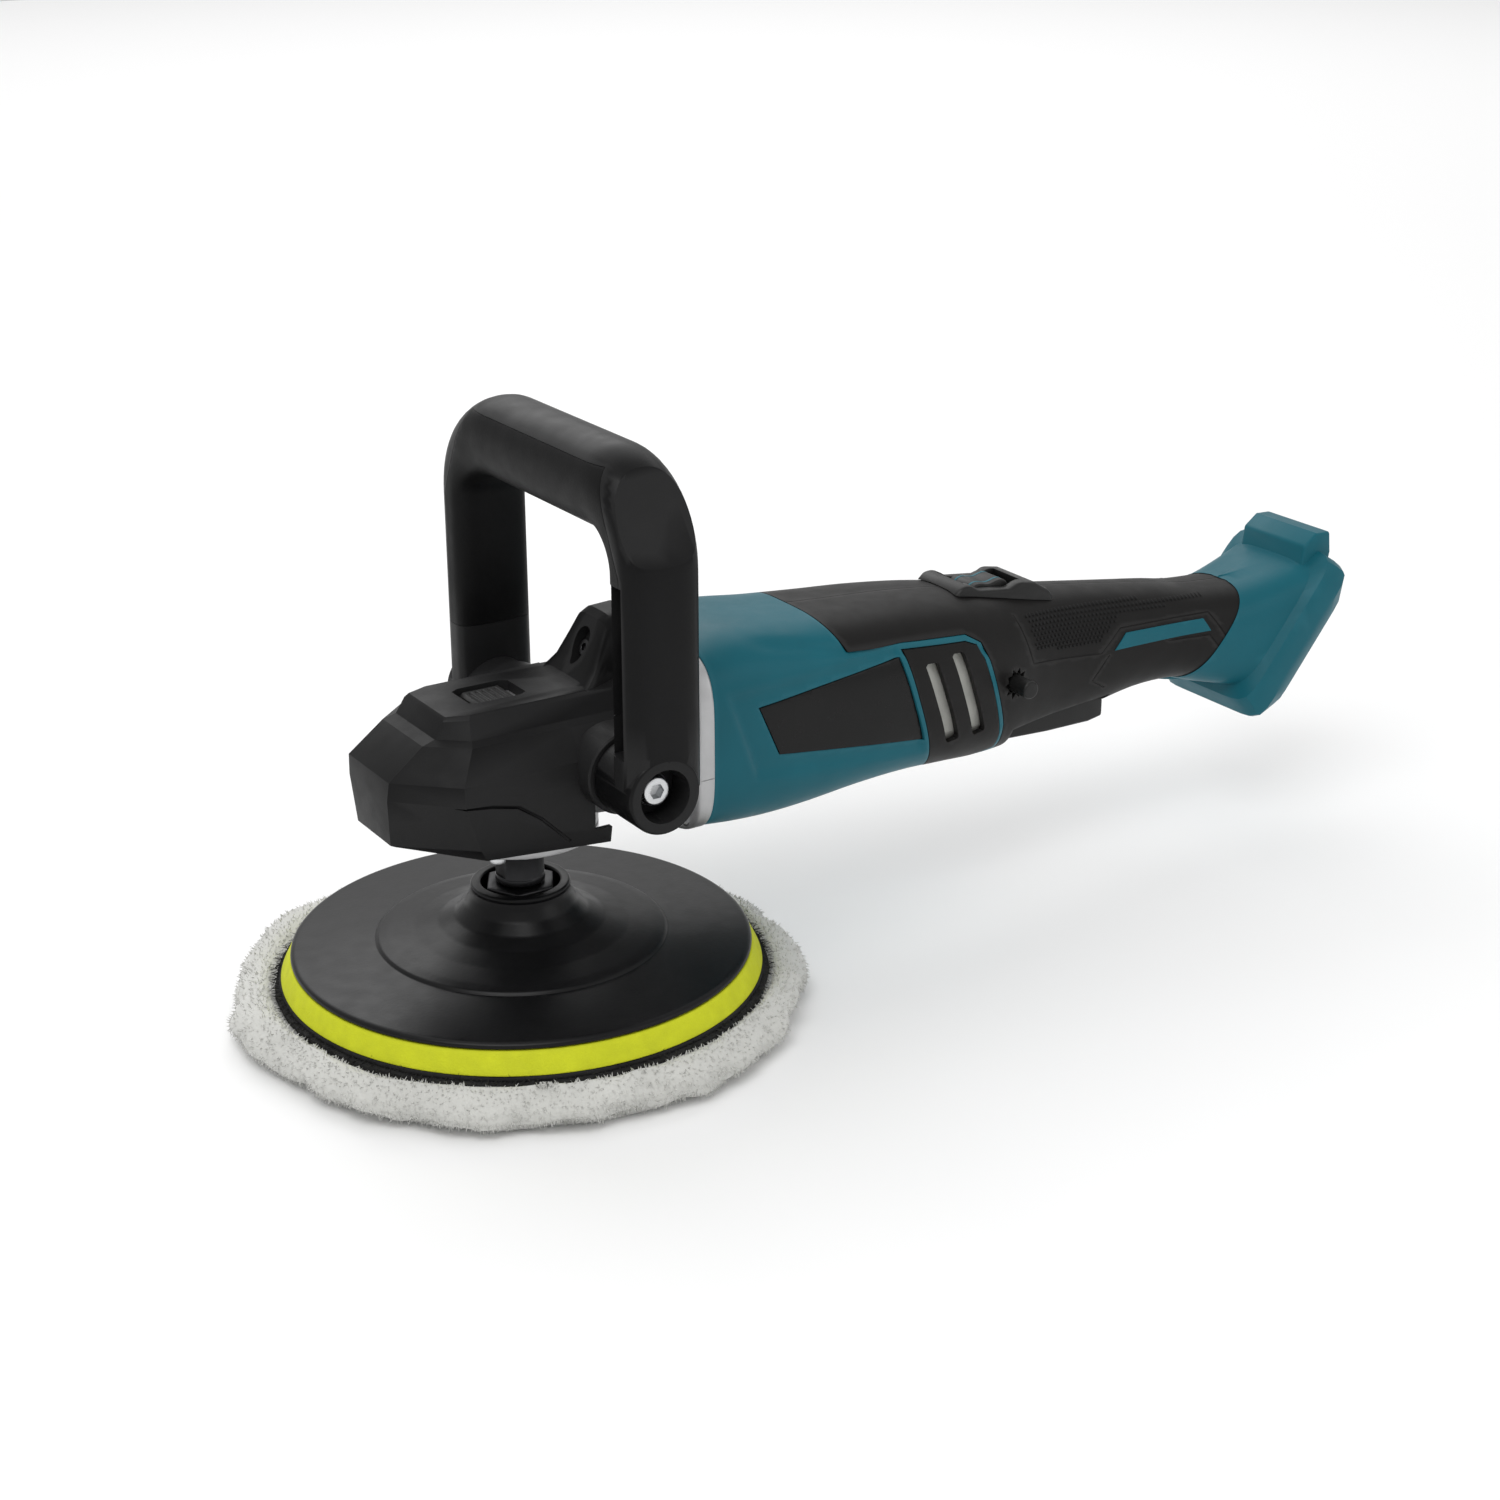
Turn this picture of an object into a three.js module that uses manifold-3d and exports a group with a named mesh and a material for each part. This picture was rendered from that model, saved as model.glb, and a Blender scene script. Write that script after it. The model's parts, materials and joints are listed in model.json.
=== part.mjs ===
// Cordless rotary polisher: pad stack on a right-angle gear head, motor body with a trigger grip, swinging loop handle.
// Millimetres. The origin is the centre of the pad's working face, +Z runs up the spindle and +X towards the battery.
import * as THREE from 'three';
import Module from 'manifold-3d';
import { mergeVertices } from 'three/addons/utils/BufferGeometryUtils.js';

const wasm = await Module();
wasm.setup();

// ---- Driving dimensions ----
const GAP = 0.3;

const PAD_RADIUS = 90;
const WOOL_TOP = 13.7;
const BACKING_BASE = 26.3;
const HUB_RADIUS = 17;
const HUB_TOP = 52;
const SPINDLE_SHOULDER = 75.7;
const SPINDLE_TOP = 117.6;
const SPINDLE_RADIUS = 7.5;

const MOTOR_AXIS = 104;
const GEAR_MODULE = 1.3;
const RING_TEETH = 36;
const PINION_TEETH = 9;
const GEAR_FACE = 8;
const RING_PITCH = GEAR_MODULE * RING_TEETH / 2;
const PINION_PITCH = GEAR_MODULE * PINION_TEETH / 2;
const GEAR_BACK = 114;

const CASE_RADIUS = 29.5;
const CASE_BORE = 25;
const CASE_BOTTOM = 75.7;
const CASE_ROOF = 115;
const CASE_TOP = 124;
const FLANGE_FRONT = 54;
const FLANGE_REAR = 61;
const FLANGE_HALF_WIDTH = 39.5;
const FLANGE_BOTTOM = 66.6;
const FLANGE_TOP = 138.8;

const PIVOT_X = 21.4;
const PIVOT_Z = 104.5;
const PIVOT_RADIUS = 14.2;
const HANDLE_OUTER = 70;
const HANDLE_INNER = 54;
const HUB_INNER = 44.3;
const BOSS_RADIUS = 13;
const BOSS_END = 44;
const ARM_X = 22.9;
const CROSSBAR_Z = 208.5;

const LOCK_X = -10;
const LOCK_PIN_X = -13;
const LOCK_HOLES = 4;

const SHELL = 2.6;
const DIAL_X = 211;
const DIAL_Z = 118.8;
const DIAL_RADIUS = 15;
const BUTTON_X = 209;
const BUTTON_Z = 96;
const TRIGGER_PIVOT_X = 216;
const TRIGGER_PIVOT_Z = 70;

const MOUNT_LOW = new THREE.Vector2(355.7, 54.6);
const MOUNT_HIGH = new THREE.Vector2(392.2, 100.6);
const MOUNT_HALF_WIDTH = 30.5;
const MOUNT_WALL = 11.4;

const ROUND = 28;

// Body sections along X: x, lowest z, highest z, half width, squareness.
const BODY_SECTIONS = [
  [61.3, 66.6, 138.8, 38.5, 4.2],
  [76, 64.5, 141, 39, 3.8],
  [92, 63.2, 140.9, 38.8, 3.5],
  [110, 63.2, 139.1, 38, 3.3],
  [135, 64.6, 137.2, 37, 3.1],
  [158, 64.8, 135.7, 35.5, 3],
  [180, 63.3, 133.5, 33.4, 2.9],
  [197, 61.8, 131, 31.2, 2.8],
  [210, 61.5, 128.6, 29, 2.7],
  [224, 62.5, 126.3, 25.5, 2.6],
  [240, 64.5, 123.8, 22.5, 2.6],
  [262, 67.5, 120.5, 20.6, 2.6],
  [286, 71.5, 116.8, 20, 2.6],
  [304, 72, 114, 20.2, 2.6],
  [322, 70.5, 110.6, 21.5, 2.7],
  [338, 69, 108, 23.5, 2.8],
];

// Line between the front housing and the grip shells, seen from the side.
const HOUSING_EDGE = [
  [104, 152], [108, 147.3], [113.2, 144], [117.8, 138.2], [121.1, 132], [123.8, 126.6], [136, 125.4], [149.7, 125.1],
  [182.5, 121.5], [190, 117], [194, 109], [197.9, 98], [203.6, 79.4], [207, 55],
];
const VENT_OUTLINE = [
  [149.8, 122.5], [181.6, 119.2], [187.5, 116.6], [190.9, 110.6], [195.5, 98.1], [202.3, 76], [203.4, 68], [176, 60],
  [167.5, 70],
];
const BADGE_OUTLINE = [[81.7, 114.4], [148.1, 120], [160.4, 84.1], [90.7, 94.4]];

// ---- Helpers ----
function solid(geometry) {
  const source = geometry.clone();
  source.deleteAttribute('normal');
  source.deleteAttribute('uv');
  const merged = mergeVertices(source, 1e-4);
  return new wasm.Manifold(new wasm.Mesh({
    numProp: 3,
    vertProperties: new Float32Array(merged.attributes.position.array),
    triVerts: new Uint32Array(merged.index.array),
  }));
}

function surface(manifold) {
  const mesh = manifold.getMesh();
  const geometry = new THREE.BufferGeometry();
  geometry.setAttribute('position', new THREE.BufferAttribute(mesh.vertProperties, 3));
  geometry.setIndex(new THREE.BufferAttribute(mesh.triVerts, 1));
  geometry.computeVertexNormals();
  return geometry;
}

function cut(base, ...tools) {
  return tools.reduce((result, tool) => result.subtract(tool), base);
}

function join(...pieces) {
  return pieces.reduce((result, piece) => result.add(piece));
}

// A turned solid about +Z from [radius, z] points.
function turnedZ(profile, segments = ROUND) {
  const geometry = new THREE.LatheGeometry(profile.map(([r, z]) => new THREE.Vector2(r, z)), segments);
  geometry.rotateX(Math.PI / 2);
  const result = solid(geometry);
  return result.volume() > 0 ? result : solid(flipped(geometry));
}

function flipped(geometry) {
  const copy = geometry.clone();
  const index = copy.index.array;
  for (let i = 0; i < index.length; i += 3) {
    [index[i], index[i + 1]] = [index[i + 1], index[i]];
  }
  return copy;
}

// The same about a line along X at y = 0 and the given z; the profile is [radius, x].
function turnedX(profile, z, segments = ROUND) {
  return turnedZ(profile, segments).rotate([0, 90, 0]).translate([0, 0, z]);
}

// The same about a line along Y through (x, z); the profile is [radius, y].
function turnedY(profile, x, z, segments = ROUND) {
  return turnedZ(profile, segments).rotate([-90, 0, 0]).translate([x, 0, z]);
}

function rod(radius, from, to) {
  return [[0, from], [radius, from], [radius, to], [0, to]];
}

function ring(inner, outer, from, to) {
  return [[inner, from], [outer, from], [outer, to], [inner, to], [inner, from]];
}

function block(x0, x1, y0, y1, z0, z1) {
  const geometry = new THREE.BoxGeometry(x1 - x0, y1 - y0, z1 - z0);
  geometry.translate((x0 + x1) / 2, (y0 + y1) / 2, (z0 + z1) / 2);
  return solid(geometry);
}

// A side outline of [x, z] points made as deep as y0 to y1, with an optional rounded edge.
function sidePrism(outline, y0, y1, round = 0) {
  const shape = new THREE.Shape(outline.map(([x, z]) => new THREE.Vector2(x, z)));
  const geometry = new THREE.ExtrudeGeometry(shape, {
    depth: y1 - y0 - 2 * round,
    bevelEnabled: round > 0,
    bevelSize: round,
    bevelThickness: round,
    bevelOffset: -round,
    bevelSegments: 3,
    curveSegments: 10,
  });
  geometry.rotateX(Math.PI / 2);
  geometry.translate(0, y1 - round, 0);
  return solid(geometry);
}

// A closed skin through rings of equal length, each a list of points.
function loft(rings) {
  const count = rings[0].length;
  const positions = rings.flat().flatMap((point) => [point.x, point.y, point.z]);
  const index = [];
  for (let i = 0; i < rings.length - 1; i += 1) {
    for (let j = 0; j < count; j += 1) {
      const a = i * count + j;
      const b = i * count + (j + 1) % count;
      index.push(a, b, b + count, a, b + count, a + count);
    }
  }
  const ends = [rings[0], rings[rings.length - 1]];
  ends.forEach((end, side) => {
    const centre = end.reduce((sum, point) => sum.add(point), new THREE.Vector3()).divideScalar(count);
    const middle = positions.length / 3;
    positions.push(centre.x, centre.y, centre.z);
    const first = side === 0 ? 0 : (rings.length - 1) * count;
    for (let j = 0; j < count; j += 1) {
      const a = first + j;
      const b = first + (j + 1) % count;
      index.push(...(side === 0 ? [middle, b, a] : [middle, a, b]));
    }
  });
  const geometry = new THREE.BufferGeometry();
  geometry.setAttribute('position', new THREE.BufferAttribute(new Float32Array(positions), 3));
  geometry.setIndex(index);
  const result = solid(geometry);
  return result.volume() > 0 ? result : solid(flipped(geometry));
}

// A rounded section in a plane of constant x.
function bodyRing(x, low, high, halfWidth, squareness, inset = 0, count = 26) {
  const points = [];
  const middle = (low + high) / 2;
  for (let i = 0; i < count; i += 1) {
    const angle = 2 * Math.PI * i / count;
    const c = Math.cos(angle);
    const s = Math.sin(angle);
    const reach = (Math.abs(c) ** squareness + Math.abs(s) ** squareness) ** (-1 / squareness);
    const y = (halfWidth - inset) * reach * c;
    const z = middle + ((high - low) / 2 - inset) * reach * s;
    points.push(new THREE.Vector3(x, y, z));
  }
  return points;
}

function body(inset, startX, endX) {
  const sections = BODY_SECTIONS.map((row) => [...row]);
  sections[0][0] = startX;
  sections[sections.length - 1][0] = endX;
  return loft(sections.map(([x, low, high, width, square]) => bodyRing(x, low, high, width, square, inset)));
}

function mirrored(manifold) {
  return manifold.mirror([0, 1, 0]);
}

const group = new THREE.Group();

function add(name, shape, color, roughness, metalness = 0) {
  const material = new THREE.MeshStandardMaterial({ color, roughness, metalness });
  const mesh = new THREE.Mesh(surface(shape), material);
  mesh.name = name;
  group.add(mesh);
}

const TEAL = 0x1f6577;
const BLACK = 0x1b1b1c;
const RUBBER = 0x222323;
const STEEL = 0xb9bcc0;
const ALUMINIUM = 0xb4b6b8;
const COPPER = 0xb06a3a;

// ---- Pad stack ----
function padStack() {
  const wool = [
    [0, 0], [100, 0], [106.5, 2.8], [110, 8.5], [108, 14], [102, 17.5], [96, 17.5],
    [93.6, 16.2], [93.4, WOOL_TOP], [0, WOOL_TOP],
  ];
  add('wool_pad', turnedZ(wool, 44), 0xe9e6df, 0.95);
  add('wool_pad_backing', turnedZ(rod(93, 14, 16.5), 44), 0x191919, 0.9);
  add('hook_layer', turnedZ(rod(PAD_RADIUS + 0.5, 16.8, 18), 44), 0x101010, 0.9);
  const foam = [[0, 18.3], [PAD_RADIUS, 18.3], [PAD_RADIUS - 3.5, 26], [0, 26]];
  add('foam_layer', turnedZ(foam, 44), 0xd9dc1e, 0.8);
  const plate = [
    [0, BACKING_BASE], [86, BACKING_BASE], [85.6, 28.4], [84.5, 29], [56, 31], [53.4, 33.2], [48, 34],
    [30, 36.5], [22.5, 42], [18.5, 48], [HUB_RADIUS, HUB_TOP], [14.6, HUB_TOP], [14.6, 38], [0, 38],
  ];
  add('backing_plate', turnedZ(plate, 44), BLACK, 0.5);
  const hexagon = turnedZ(rod(14.2, 38.3, 51.6), 6);
  add('plate_insert_nut', cut(hexagon, turnedZ(rod(7.3, 30, 60))), STEEL, 0.35, 1);
}

function spindle() {
  const profile = [
    [0, 39], [6, 39], [6.9, 40], [6.9, HUB_TOP + 0.2], [9.2, HUB_TOP + 0.2], [9.2, SPINDLE_SHOULDER],
    [SPINDLE_RADIUS, SPINDLE_SHOULDER], [SPINDLE_RADIUS, GEAR_BACK], [4, GEAR_BACK], [4, SPINDLE_TOP], [0, SPINDLE_TOP],
  ];
  const flat = block(7.9, 20, -20, 20, 55, 63);
  add('spindle', cut(turnedZ(profile), flat, flat.rotate([0, 0, 180])), 0x2a2a2b, 0.45, 0.9);
}

// ---- Bevel pair ----
const TOOTH_PLACES = [-0.24, -0.13, 0.13, 0.24];
const TOOTH_HEIGHTS = [false, true, true, false];

// A straight bevel gear about +Z with its apex at the origin. Its section is drawn at every tooth angle, and each
// tooth point lies on a line to the apex, so the teeth shrink towards the middle. The backing closes the section.
function bevelGear(teeth, pitchRadius, pitchDepth, phase, tip, root, backing) {
  const cone = Math.hypot(pitchRadius, pitchDepth);
  const slope = Math.atan2(pitchDepth, pitchRadius);
  const inner = (cone - GEAR_FACE) / cone;
  const sections = [];
  for (let tooth = 0; tooth < teeth; tooth += 1) {
    TOOTH_PLACES.forEach((place, step) => {
      const angle = (tooth + place) * 2 * Math.PI / teeth + phase;
      const lift = TOOTH_HEIGHTS[step] ? tip : -root;
      const r = cone * Math.cos(slope) + lift * Math.sin(slope);
      const z = cone * Math.sin(slope) - lift * Math.cos(slope);
      const profile = [[inner * r, inner * z], [r, z], ...backing];
      sections.push(profile.map(([radius, height]) => (
        new THREE.Vector3(radius * Math.cos(angle), radius * Math.sin(angle), height))));
    });
  }
  return closedLoft(sections);
}

// A closed band through sections that come back round to the first one.
function closedLoft(sections) {
  const count = sections[0].length;
  const index = [];
  for (let i = 0; i < sections.length; i += 1) {
    const next = (i + 1) % sections.length;
    for (let j = 0; j < count; j += 1) {
      const k = (j + 1) % count;
      const a = i * count + j;
      const b = i * count + k;
      index.push(a, b, next * count + k, a, next * count + k, next * count + j);
    }
  }
  const positions = sections.flat().flatMap((point) => [point.x, point.y, point.z]);
  const geometry = new THREE.BufferGeometry();
  geometry.setAttribute('position', new THREE.BufferAttribute(new Float32Array(positions), 3));
  geometry.setIndex(index);
  const result = solid(geometry);
  return result.volume() > 0 ? result : solid(flipped(geometry));
}

function gears() {
  const back = GEAR_BACK - MOTOR_AXIS;
  const bore = SPINDLE_RADIUS + GAP;
  const ringBacking = [[24.4, back], [bore, back], [bore, 0.8], [12.6, 0.8]];
  const ringTeeth = bevelGear(RING_TEETH, RING_PITCH, PINION_PITCH, Math.PI / RING_TEETH, 0.95, 1.4, ringBacking);
  let ringGear = ringTeeth.translate([0, 0, MOTOR_AXIS]);
  for (let i = 0; i < LOCK_HOLES; i += 1) {
    const hole = turnedZ(rod(2.9, GEAR_BACK - 3.6, GEAR_BACK + 5), 16).translate([LOCK_PIN_X, 0, 0]);
    ringGear = cut(ringGear, hole.rotate([0, 0, 360 * i / LOCK_HOLES]));
  }
  add('ring_gear', ringGear, STEEL, 0.4, 1);
  const pinionBacking = [[5.7, 25.6], [5.7, 36], [2.4, 36], [2.4, 15.7]];
  const pinion = bevelGear(PINION_TEETH, PINION_PITCH, RING_PITCH, Math.PI, 0.95, 1.3, pinionBacking);
  add('pinion_gear', pinion.rotate([0, 90, 0]).translate([0, 0, MOTOR_AXIS]), STEEL, 0.4, 1);
}

// ---- Gear head ----
const COVER_SCREW_RADIUS = 25.7;
const COVER_SCREW_ANGLES = [45, 135, 225, 315];
const CASE_SCREW_PLACES = [[-28.5, 75], [28.5, 75], [-28.5, 131], [28.5, 131]];

function bearings() {
  add('spindle_lower_bearing', turnedZ(ring(SPINDLE_RADIUS + GAP, 17.5, 76, 87)), STEEL, 0.3, 1);
  add('spindle_upper_bearing', turnedZ(ring(4 + GAP, 8, 114.3, 117.7)), STEEL, 0.3, 1);
  add('motor_front_bearing', turnedX(ring(4 + GAP, 11, 45.5, 52.5), MOTOR_AXIS), STEEL, 0.3, 1);
  add('motor_rear_bearing', turnedX(ring(4 + GAP, 11, 140, 147), MOTOR_AXIS), STEEL, 0.3, 1);
}

function bearingCover() {
  const profile = [
    [9.6, 70.5], [20.5, 70.5], [21.5, 72.6], [CASE_RADIUS, 72.6], [CASE_RADIUS, 75.4], [20.6, 75.4], [20.6, 87.5],
    [17.8, 87.5], [17.8, 75.7], [9.6, 75.2], [9.6, 70.5],
  ];
  const holes = COVER_SCREW_ANGLES.map((angle) => (
    turnedZ(rod(1.9, 60, 80), 12).translate([COVER_SCREW_RADIUS, 0, 0]).rotate([0, 0, angle])));
  add('bearing_cover', cut(turnedZ(profile), ...holes), ALUMINIUM, 0.45, 0.9);
  const screw = [[0, 70], [3, 70], [3, 72.3], [1.5, 72.3], [1.5, 83], [0, 83]];
  COVER_SCREW_ANGLES.forEach((angle, i) => {
    const placed = turnedZ(screw, 12).translate([COVER_SCREW_RADIUS, 0, 0]).rotate([0, 0, angle]);
    add(`bearing_cover_screw_${i + 1}`, placed, STEEL, 0.35, 1);
  });
}

// A rounded rectangle across X, as a short loft.
function roundedPlate(x0, x1, halfWidth, low, high, squareness) {
  return loft([x0, x1].map((x) => bodyRing(x, low, high, halfWidth, squareness)));
}

// Half section of the barrel that holds the gears, as [radius, z].
const BARREL = [
  [0, CASE_BOTTOM], [CASE_RADIUS, CASE_BOTTOM], [CASE_RADIUS, 110], [24, 119], [18.5, CASE_TOP], [0, CASE_TOP],
];
// Sections of the neck: x, lowest z, highest z, half width, squareness.
const NECK_SECTIONS = [[4, 78, 123.5, 27, 2.6], [26, 77, 125, 28.5, 3], [FLANGE_FRONT + 1, 74, 132, 33, 3.2]];

function gearCase() {
  const barrel = turnedZ(BARREL);
  const neck = loft(NECK_SECTIONS.map((row) => bodyRing(...row)));
  const flange = roundedPlate(FLANGE_FRONT, FLANGE_REAR, FLANGE_HALF_WIDTH, FLANGE_BOTTOM, FLANGE_TOP, 4.2);
  const boss = turnedY(rod(BOSS_RADIUS, 20, BOSS_END), PIVOT_X, PIVOT_Z, 24);
  const cavity = turnedZ(rod(CASE_BORE, 96, CASE_ROOF));
  const coverBore = turnedZ(rod(22, 60, 97));
  const tunnel = turnedX(rod(12.5, 10, 45.2), MOTOR_AXIS, 28);
  const pocket = turnedX(rod(11.3, 40, 70), MOTOR_AXIS, 28);
  const fanRoom = turnedX(rod(31.5, 56.6, 70), MOTOR_AXIS);
  const roofBearing = turnedZ(rod(8.3, 110, 118), 24);
  const lockPocket = block(LOCK_X - 8.6, LOCK_X + 8.6, -7.3, 7.3, 119.2, 140);
  const lockHole = turnedZ(rod(2.7, 110, 140), 16).translate([LOCK_PIN_X, 0, 0]);
  const boltHole = turnedY(rod(4.3, 31, 50), PIVOT_X, PIVOT_Z, 20);
  const coverHoles = COVER_SCREW_ANGLES.map((angle) => (
    turnedZ(rod(1.8, 70, 84), 12).translate([COVER_SCREW_RADIUS, 0, 0]).rotate([0, 0, angle])));
  const screwHole = [[0, 50], [4, 50], [4, 57.5], [2.3, 57.5], [2.3, 70], [0, 70]];
  const screwHoles = CASE_SCREW_PLACES.map(([y, z]) => turnedX(screwHole, z, 12).translate([0, y, 0]));
  const outside = join(barrel, neck, flange, boss, mirrored(boss));
  const shape = cut(outside, cavity, coverBore, tunnel, pocket, fanRoom, roofBearing, lockPocket, lockHole, boltHole,
    mirrored(boltHole), ...coverHoles, ...screwHoles);
  add('gear_case', shape, ALUMINIUM, 0.5, 0.85);
  const screw = [[0, 54.3], [3.6, 54.3], [3.6, 57.2], [1.9, 57.2], [1.9, 72], [0, 72]];
  CASE_SCREW_PLACES.forEach(([y, z], i) => {
    add(`gear_case_screw_${i + 1}`, turnedX(screw, z, 12).translate([0, y, 0]), STEEL, 0.35, 1);
  });
}

// A level outline of the rubber cover: flat nose, cut front corners, straight sides.
function coverRing(z, nose, noseHalf, side, corner, rear, inset = 0) {
  const half = [
    [nose + inset, 0],
    [nose + inset, noseHalf - inset * 0.4],
    [corner + inset * 0.4, side - inset],
    [corner * 0.3 + rear * 0.7, side - inset],
    [rear, side - inset],
    [rear, 0],
  ];
  const points = [];
  const steps = [4, 6, 4, 3, 4];
  for (let i = 0; i < half.length - 1; i += 1) {
    for (let j = 0; j < steps[i]; j += 1) {
      const t = j / steps[i];
      points.push([half[i][0] + (half[i + 1][0] - half[i][0]) * t, half[i][1] + (half[i + 1][1] - half[i][1]) * t]);
    }
  }
  points.push(half[half.length - 1]);
  const softened = softenCorners(points);
  const other = softened.slice(1, -1).reverse().map(([x, y]) => [x, -y]);
  return [...softened, ...other].map(([x, y]) => new THREE.Vector3(x, y, z));
}

// Averages each point with its neighbours, except at the ends on the centre line.
function softenCorners(points) {
  let result = points;
  for (let pass = 0; pass < 2; pass += 1) {
    const last = result;
    result = last.map(([x, y], i) => {
      if (i === 0 || i >= last.length - 6) {
        return [x, y];
      }
      return [(last[i - 1][0] + 2 * x + last[i + 1][0]) / 4, (last[i - 1][1] + 2 * y + last[i + 1][1]) / 4];
    });
  }
  return result;
}

// Levels of the cover: z, nose, half width of the nose, half width of the sides, x of the corner, x of the rear.
const COVER_LEVELS = [
  [76.8, -53.5, 10, 33.5, -30, 20],
  [84, -57.5, 13.5, 35.3, -33, 20],
  [102, -58.8, 15.5, 36, -38.5, 20],
  [109, -58.2, 16.5, 35.2, -38.5, 20],
  [119.6, -44.5, 16, 27.6, -31, 20],
  [128, -34.5, 15, 17.6, -30.5, 20],
];

// Half outlines across X of the cover's saddle over the neck: x, then [half width, z] from the lower edge up.
const SADDLE_SECTIONS = [
  [8, [[34.5, 110], [27.6, 119.6], [17.6, 127.8]]],
  [30, [[35.8, 112], [28.8, 120.2], [19, 127]]],
  [FLANGE_FRONT - GAP, [[37, 116], [33, 124], [23, 131.5]]],
];
// Sections of the raised lug in front of the motor: x, lowest z, highest z, half width.
const HUMP_SECTIONS = [
  [10, 112, 127, 18], [20, 112, 128, 18], [25.5, 112, 133, 15], [33.5, 112, 149, 12], [36, 112, 150.6, 11.5],
  [45, 112, 151, 12], [FLANGE_FRONT - GAP, 112, 148.4, 14],
];

// A closed ring across X through a half outline and its mirror image.
function saddleRing([x, half]) {
  const right = half.map(([y, z]) => new THREE.Vector3(x, y, z));
  const left = half.map(([y, z]) => new THREE.Vector3(x, -y, z)).reverse();
  return [...right, ...left];
}

function headCover() {
  const outer = loft(COVER_LEVELS.map((row) => coverRing(...row)));
  const inner = loft(COVER_LEVELS.map(([z, nose, noseHalf, side, corner, rear], i) => {
    const level = i === 0 ? z - 5 : Math.min(z, CASE_TOP + GAP);
    return coverRing(level, nose, noseHalf, side, corner, rear + 30, SHELL);
  }));
  const saddle = loft(SADDLE_SECTIONS.map(saddleRing));
  const hump = loft(HUMP_SECTIONS.map(([x, low, high, width]) => bodyRing(x, low, high, width, 4.5, 0, 16)));
  const barrelRoom = turnedZ(BARREL.map(([r, z]) => [r && r + GAP, z + (z === CASE_TOP ? GAP : 0)]));
  const neckRoom = loft(NECK_SECTIONS.map((row) => bodyRing(...row, -2 * GAP))).translate([-GAP, 0, 0]);
  const under = block(0, 60, -60, 60, 60, 112);
  const skirt = cut(join(outer, cut(join(saddle, hump), under)), inner, barrelRoom, neckRoom);
  const pivot = turnedY(rod(BOSS_RADIUS + GAP, -60, 60), PIVOT_X, PIVOT_Z, 24);
  const collar = turnedY(ring(BOSS_RADIUS + GAP, PIVOT_RADIUS + 1.5, 30, BOSS_END - 0.1), PIVOT_X, PIVOT_Z, 24);
  const rearTrim = join(block(12.6, 60, -60, 60, 81, 112), block(21.8, 60, -60, 60, 60, 82));
  const window = block(LOCK_X - 11.3, LOCK_X + 11.3, -9.8, 9.8, 118, 160);
  const shape = join(cut(skirt, pivot, rearTrim, window), collar, mirrored(collar));
  add('head_cover', cut(shape, neckRoom), RUBBER, 0.75);
}

function spindleLock() {
  const cap = sidePrism([
    [LOCK_X - 8.3, 123.6], [LOCK_X - 8.3, 125.9], [LOCK_X - 7, 126.9], [LOCK_X + 7, 126.9],
    [LOCK_X + 8.3, 125.9], [LOCK_X + 8.3, 123.6],
  ], -7, 7);
  const spring = turnedZ(ring(3.1, 4.3, 119.5, 123.3), 16).translate([LOCK_PIN_X + 7, 0, 0]);
  add('spindle_lock_button', cap, BLACK, 0.5);
  add('spindle_lock_pin', turnedZ(rod(2.3, 115.2, 123.3), 16).translate([LOCK_PIN_X, 0, 0]), STEEL, 0.3, 1);
  add('spindle_lock_spring', spring, STEEL, 0.4, 1);
}

// ---- Loop handle ----
const ARM_HALF_X = 15.4;
const ARM_CENTRE = (HANDLE_OUTER + HANDLE_INNER) / 2;
const ARM_HALF = (HANDLE_OUTER - HANDLE_INNER) / 2;
const CROSSBAR_HALF = 15.5;
const BEND_RADIUS = 25;
const GRIP_START = 133;
const STRIP = 6;

// Sections of the loop from one pivot to the other: flat-sided arms, a quarter bend and a round crossbar.
function loopSections(start, inset) {
  const stations = [];
  const straightTop = CROSSBAR_Z - BEND_RADIUS;
  [start, 150, straightTop].forEach((z) => stations.push([ARM_CENTRE, z, 0, ARM_HALF]));
  for (let step = 1; step <= 6; step += 1) {
    const turn = step / 6;
    const angle = turn * Math.PI / 2;
    const y = ARM_CENTRE - BEND_RADIUS + BEND_RADIUS * Math.cos(angle);
    const z = straightTop + BEND_RADIUS * Math.sin(angle);
    stations.push([y, z, angle, ARM_HALF + (CROSSBAR_HALF - ARM_HALF) * turn]);
  }
  const otherSide = stations.map(([y, z, angle, half]) => [-y, z, Math.PI - angle, half]).reverse();
  return [...stations, ...otherSide].map(([y, z, angle, half]) => {
    const points = [];
    const square = 3.2 - 1.2 * Math.min(1, (half - ARM_HALF) / (CROSSBAR_HALF - ARM_HALF));
    for (let i = 0; i < 20; i += 1) {
      const turn = 2 * Math.PI * i / 20;
      const c = Math.cos(turn);
      const s = Math.sin(turn);
      const reach = (Math.abs(c) ** square + Math.abs(s) ** square) ** (-1 / square);
      const out = (half - inset) * reach * c;
      const along = (ARM_HALF_X - inset) * reach * s;
      points.push(new THREE.Vector3(ARM_X + along, y + out * Math.cos(angle), z + out * Math.sin(angle)));
    }
    return points;
  });
}

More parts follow.
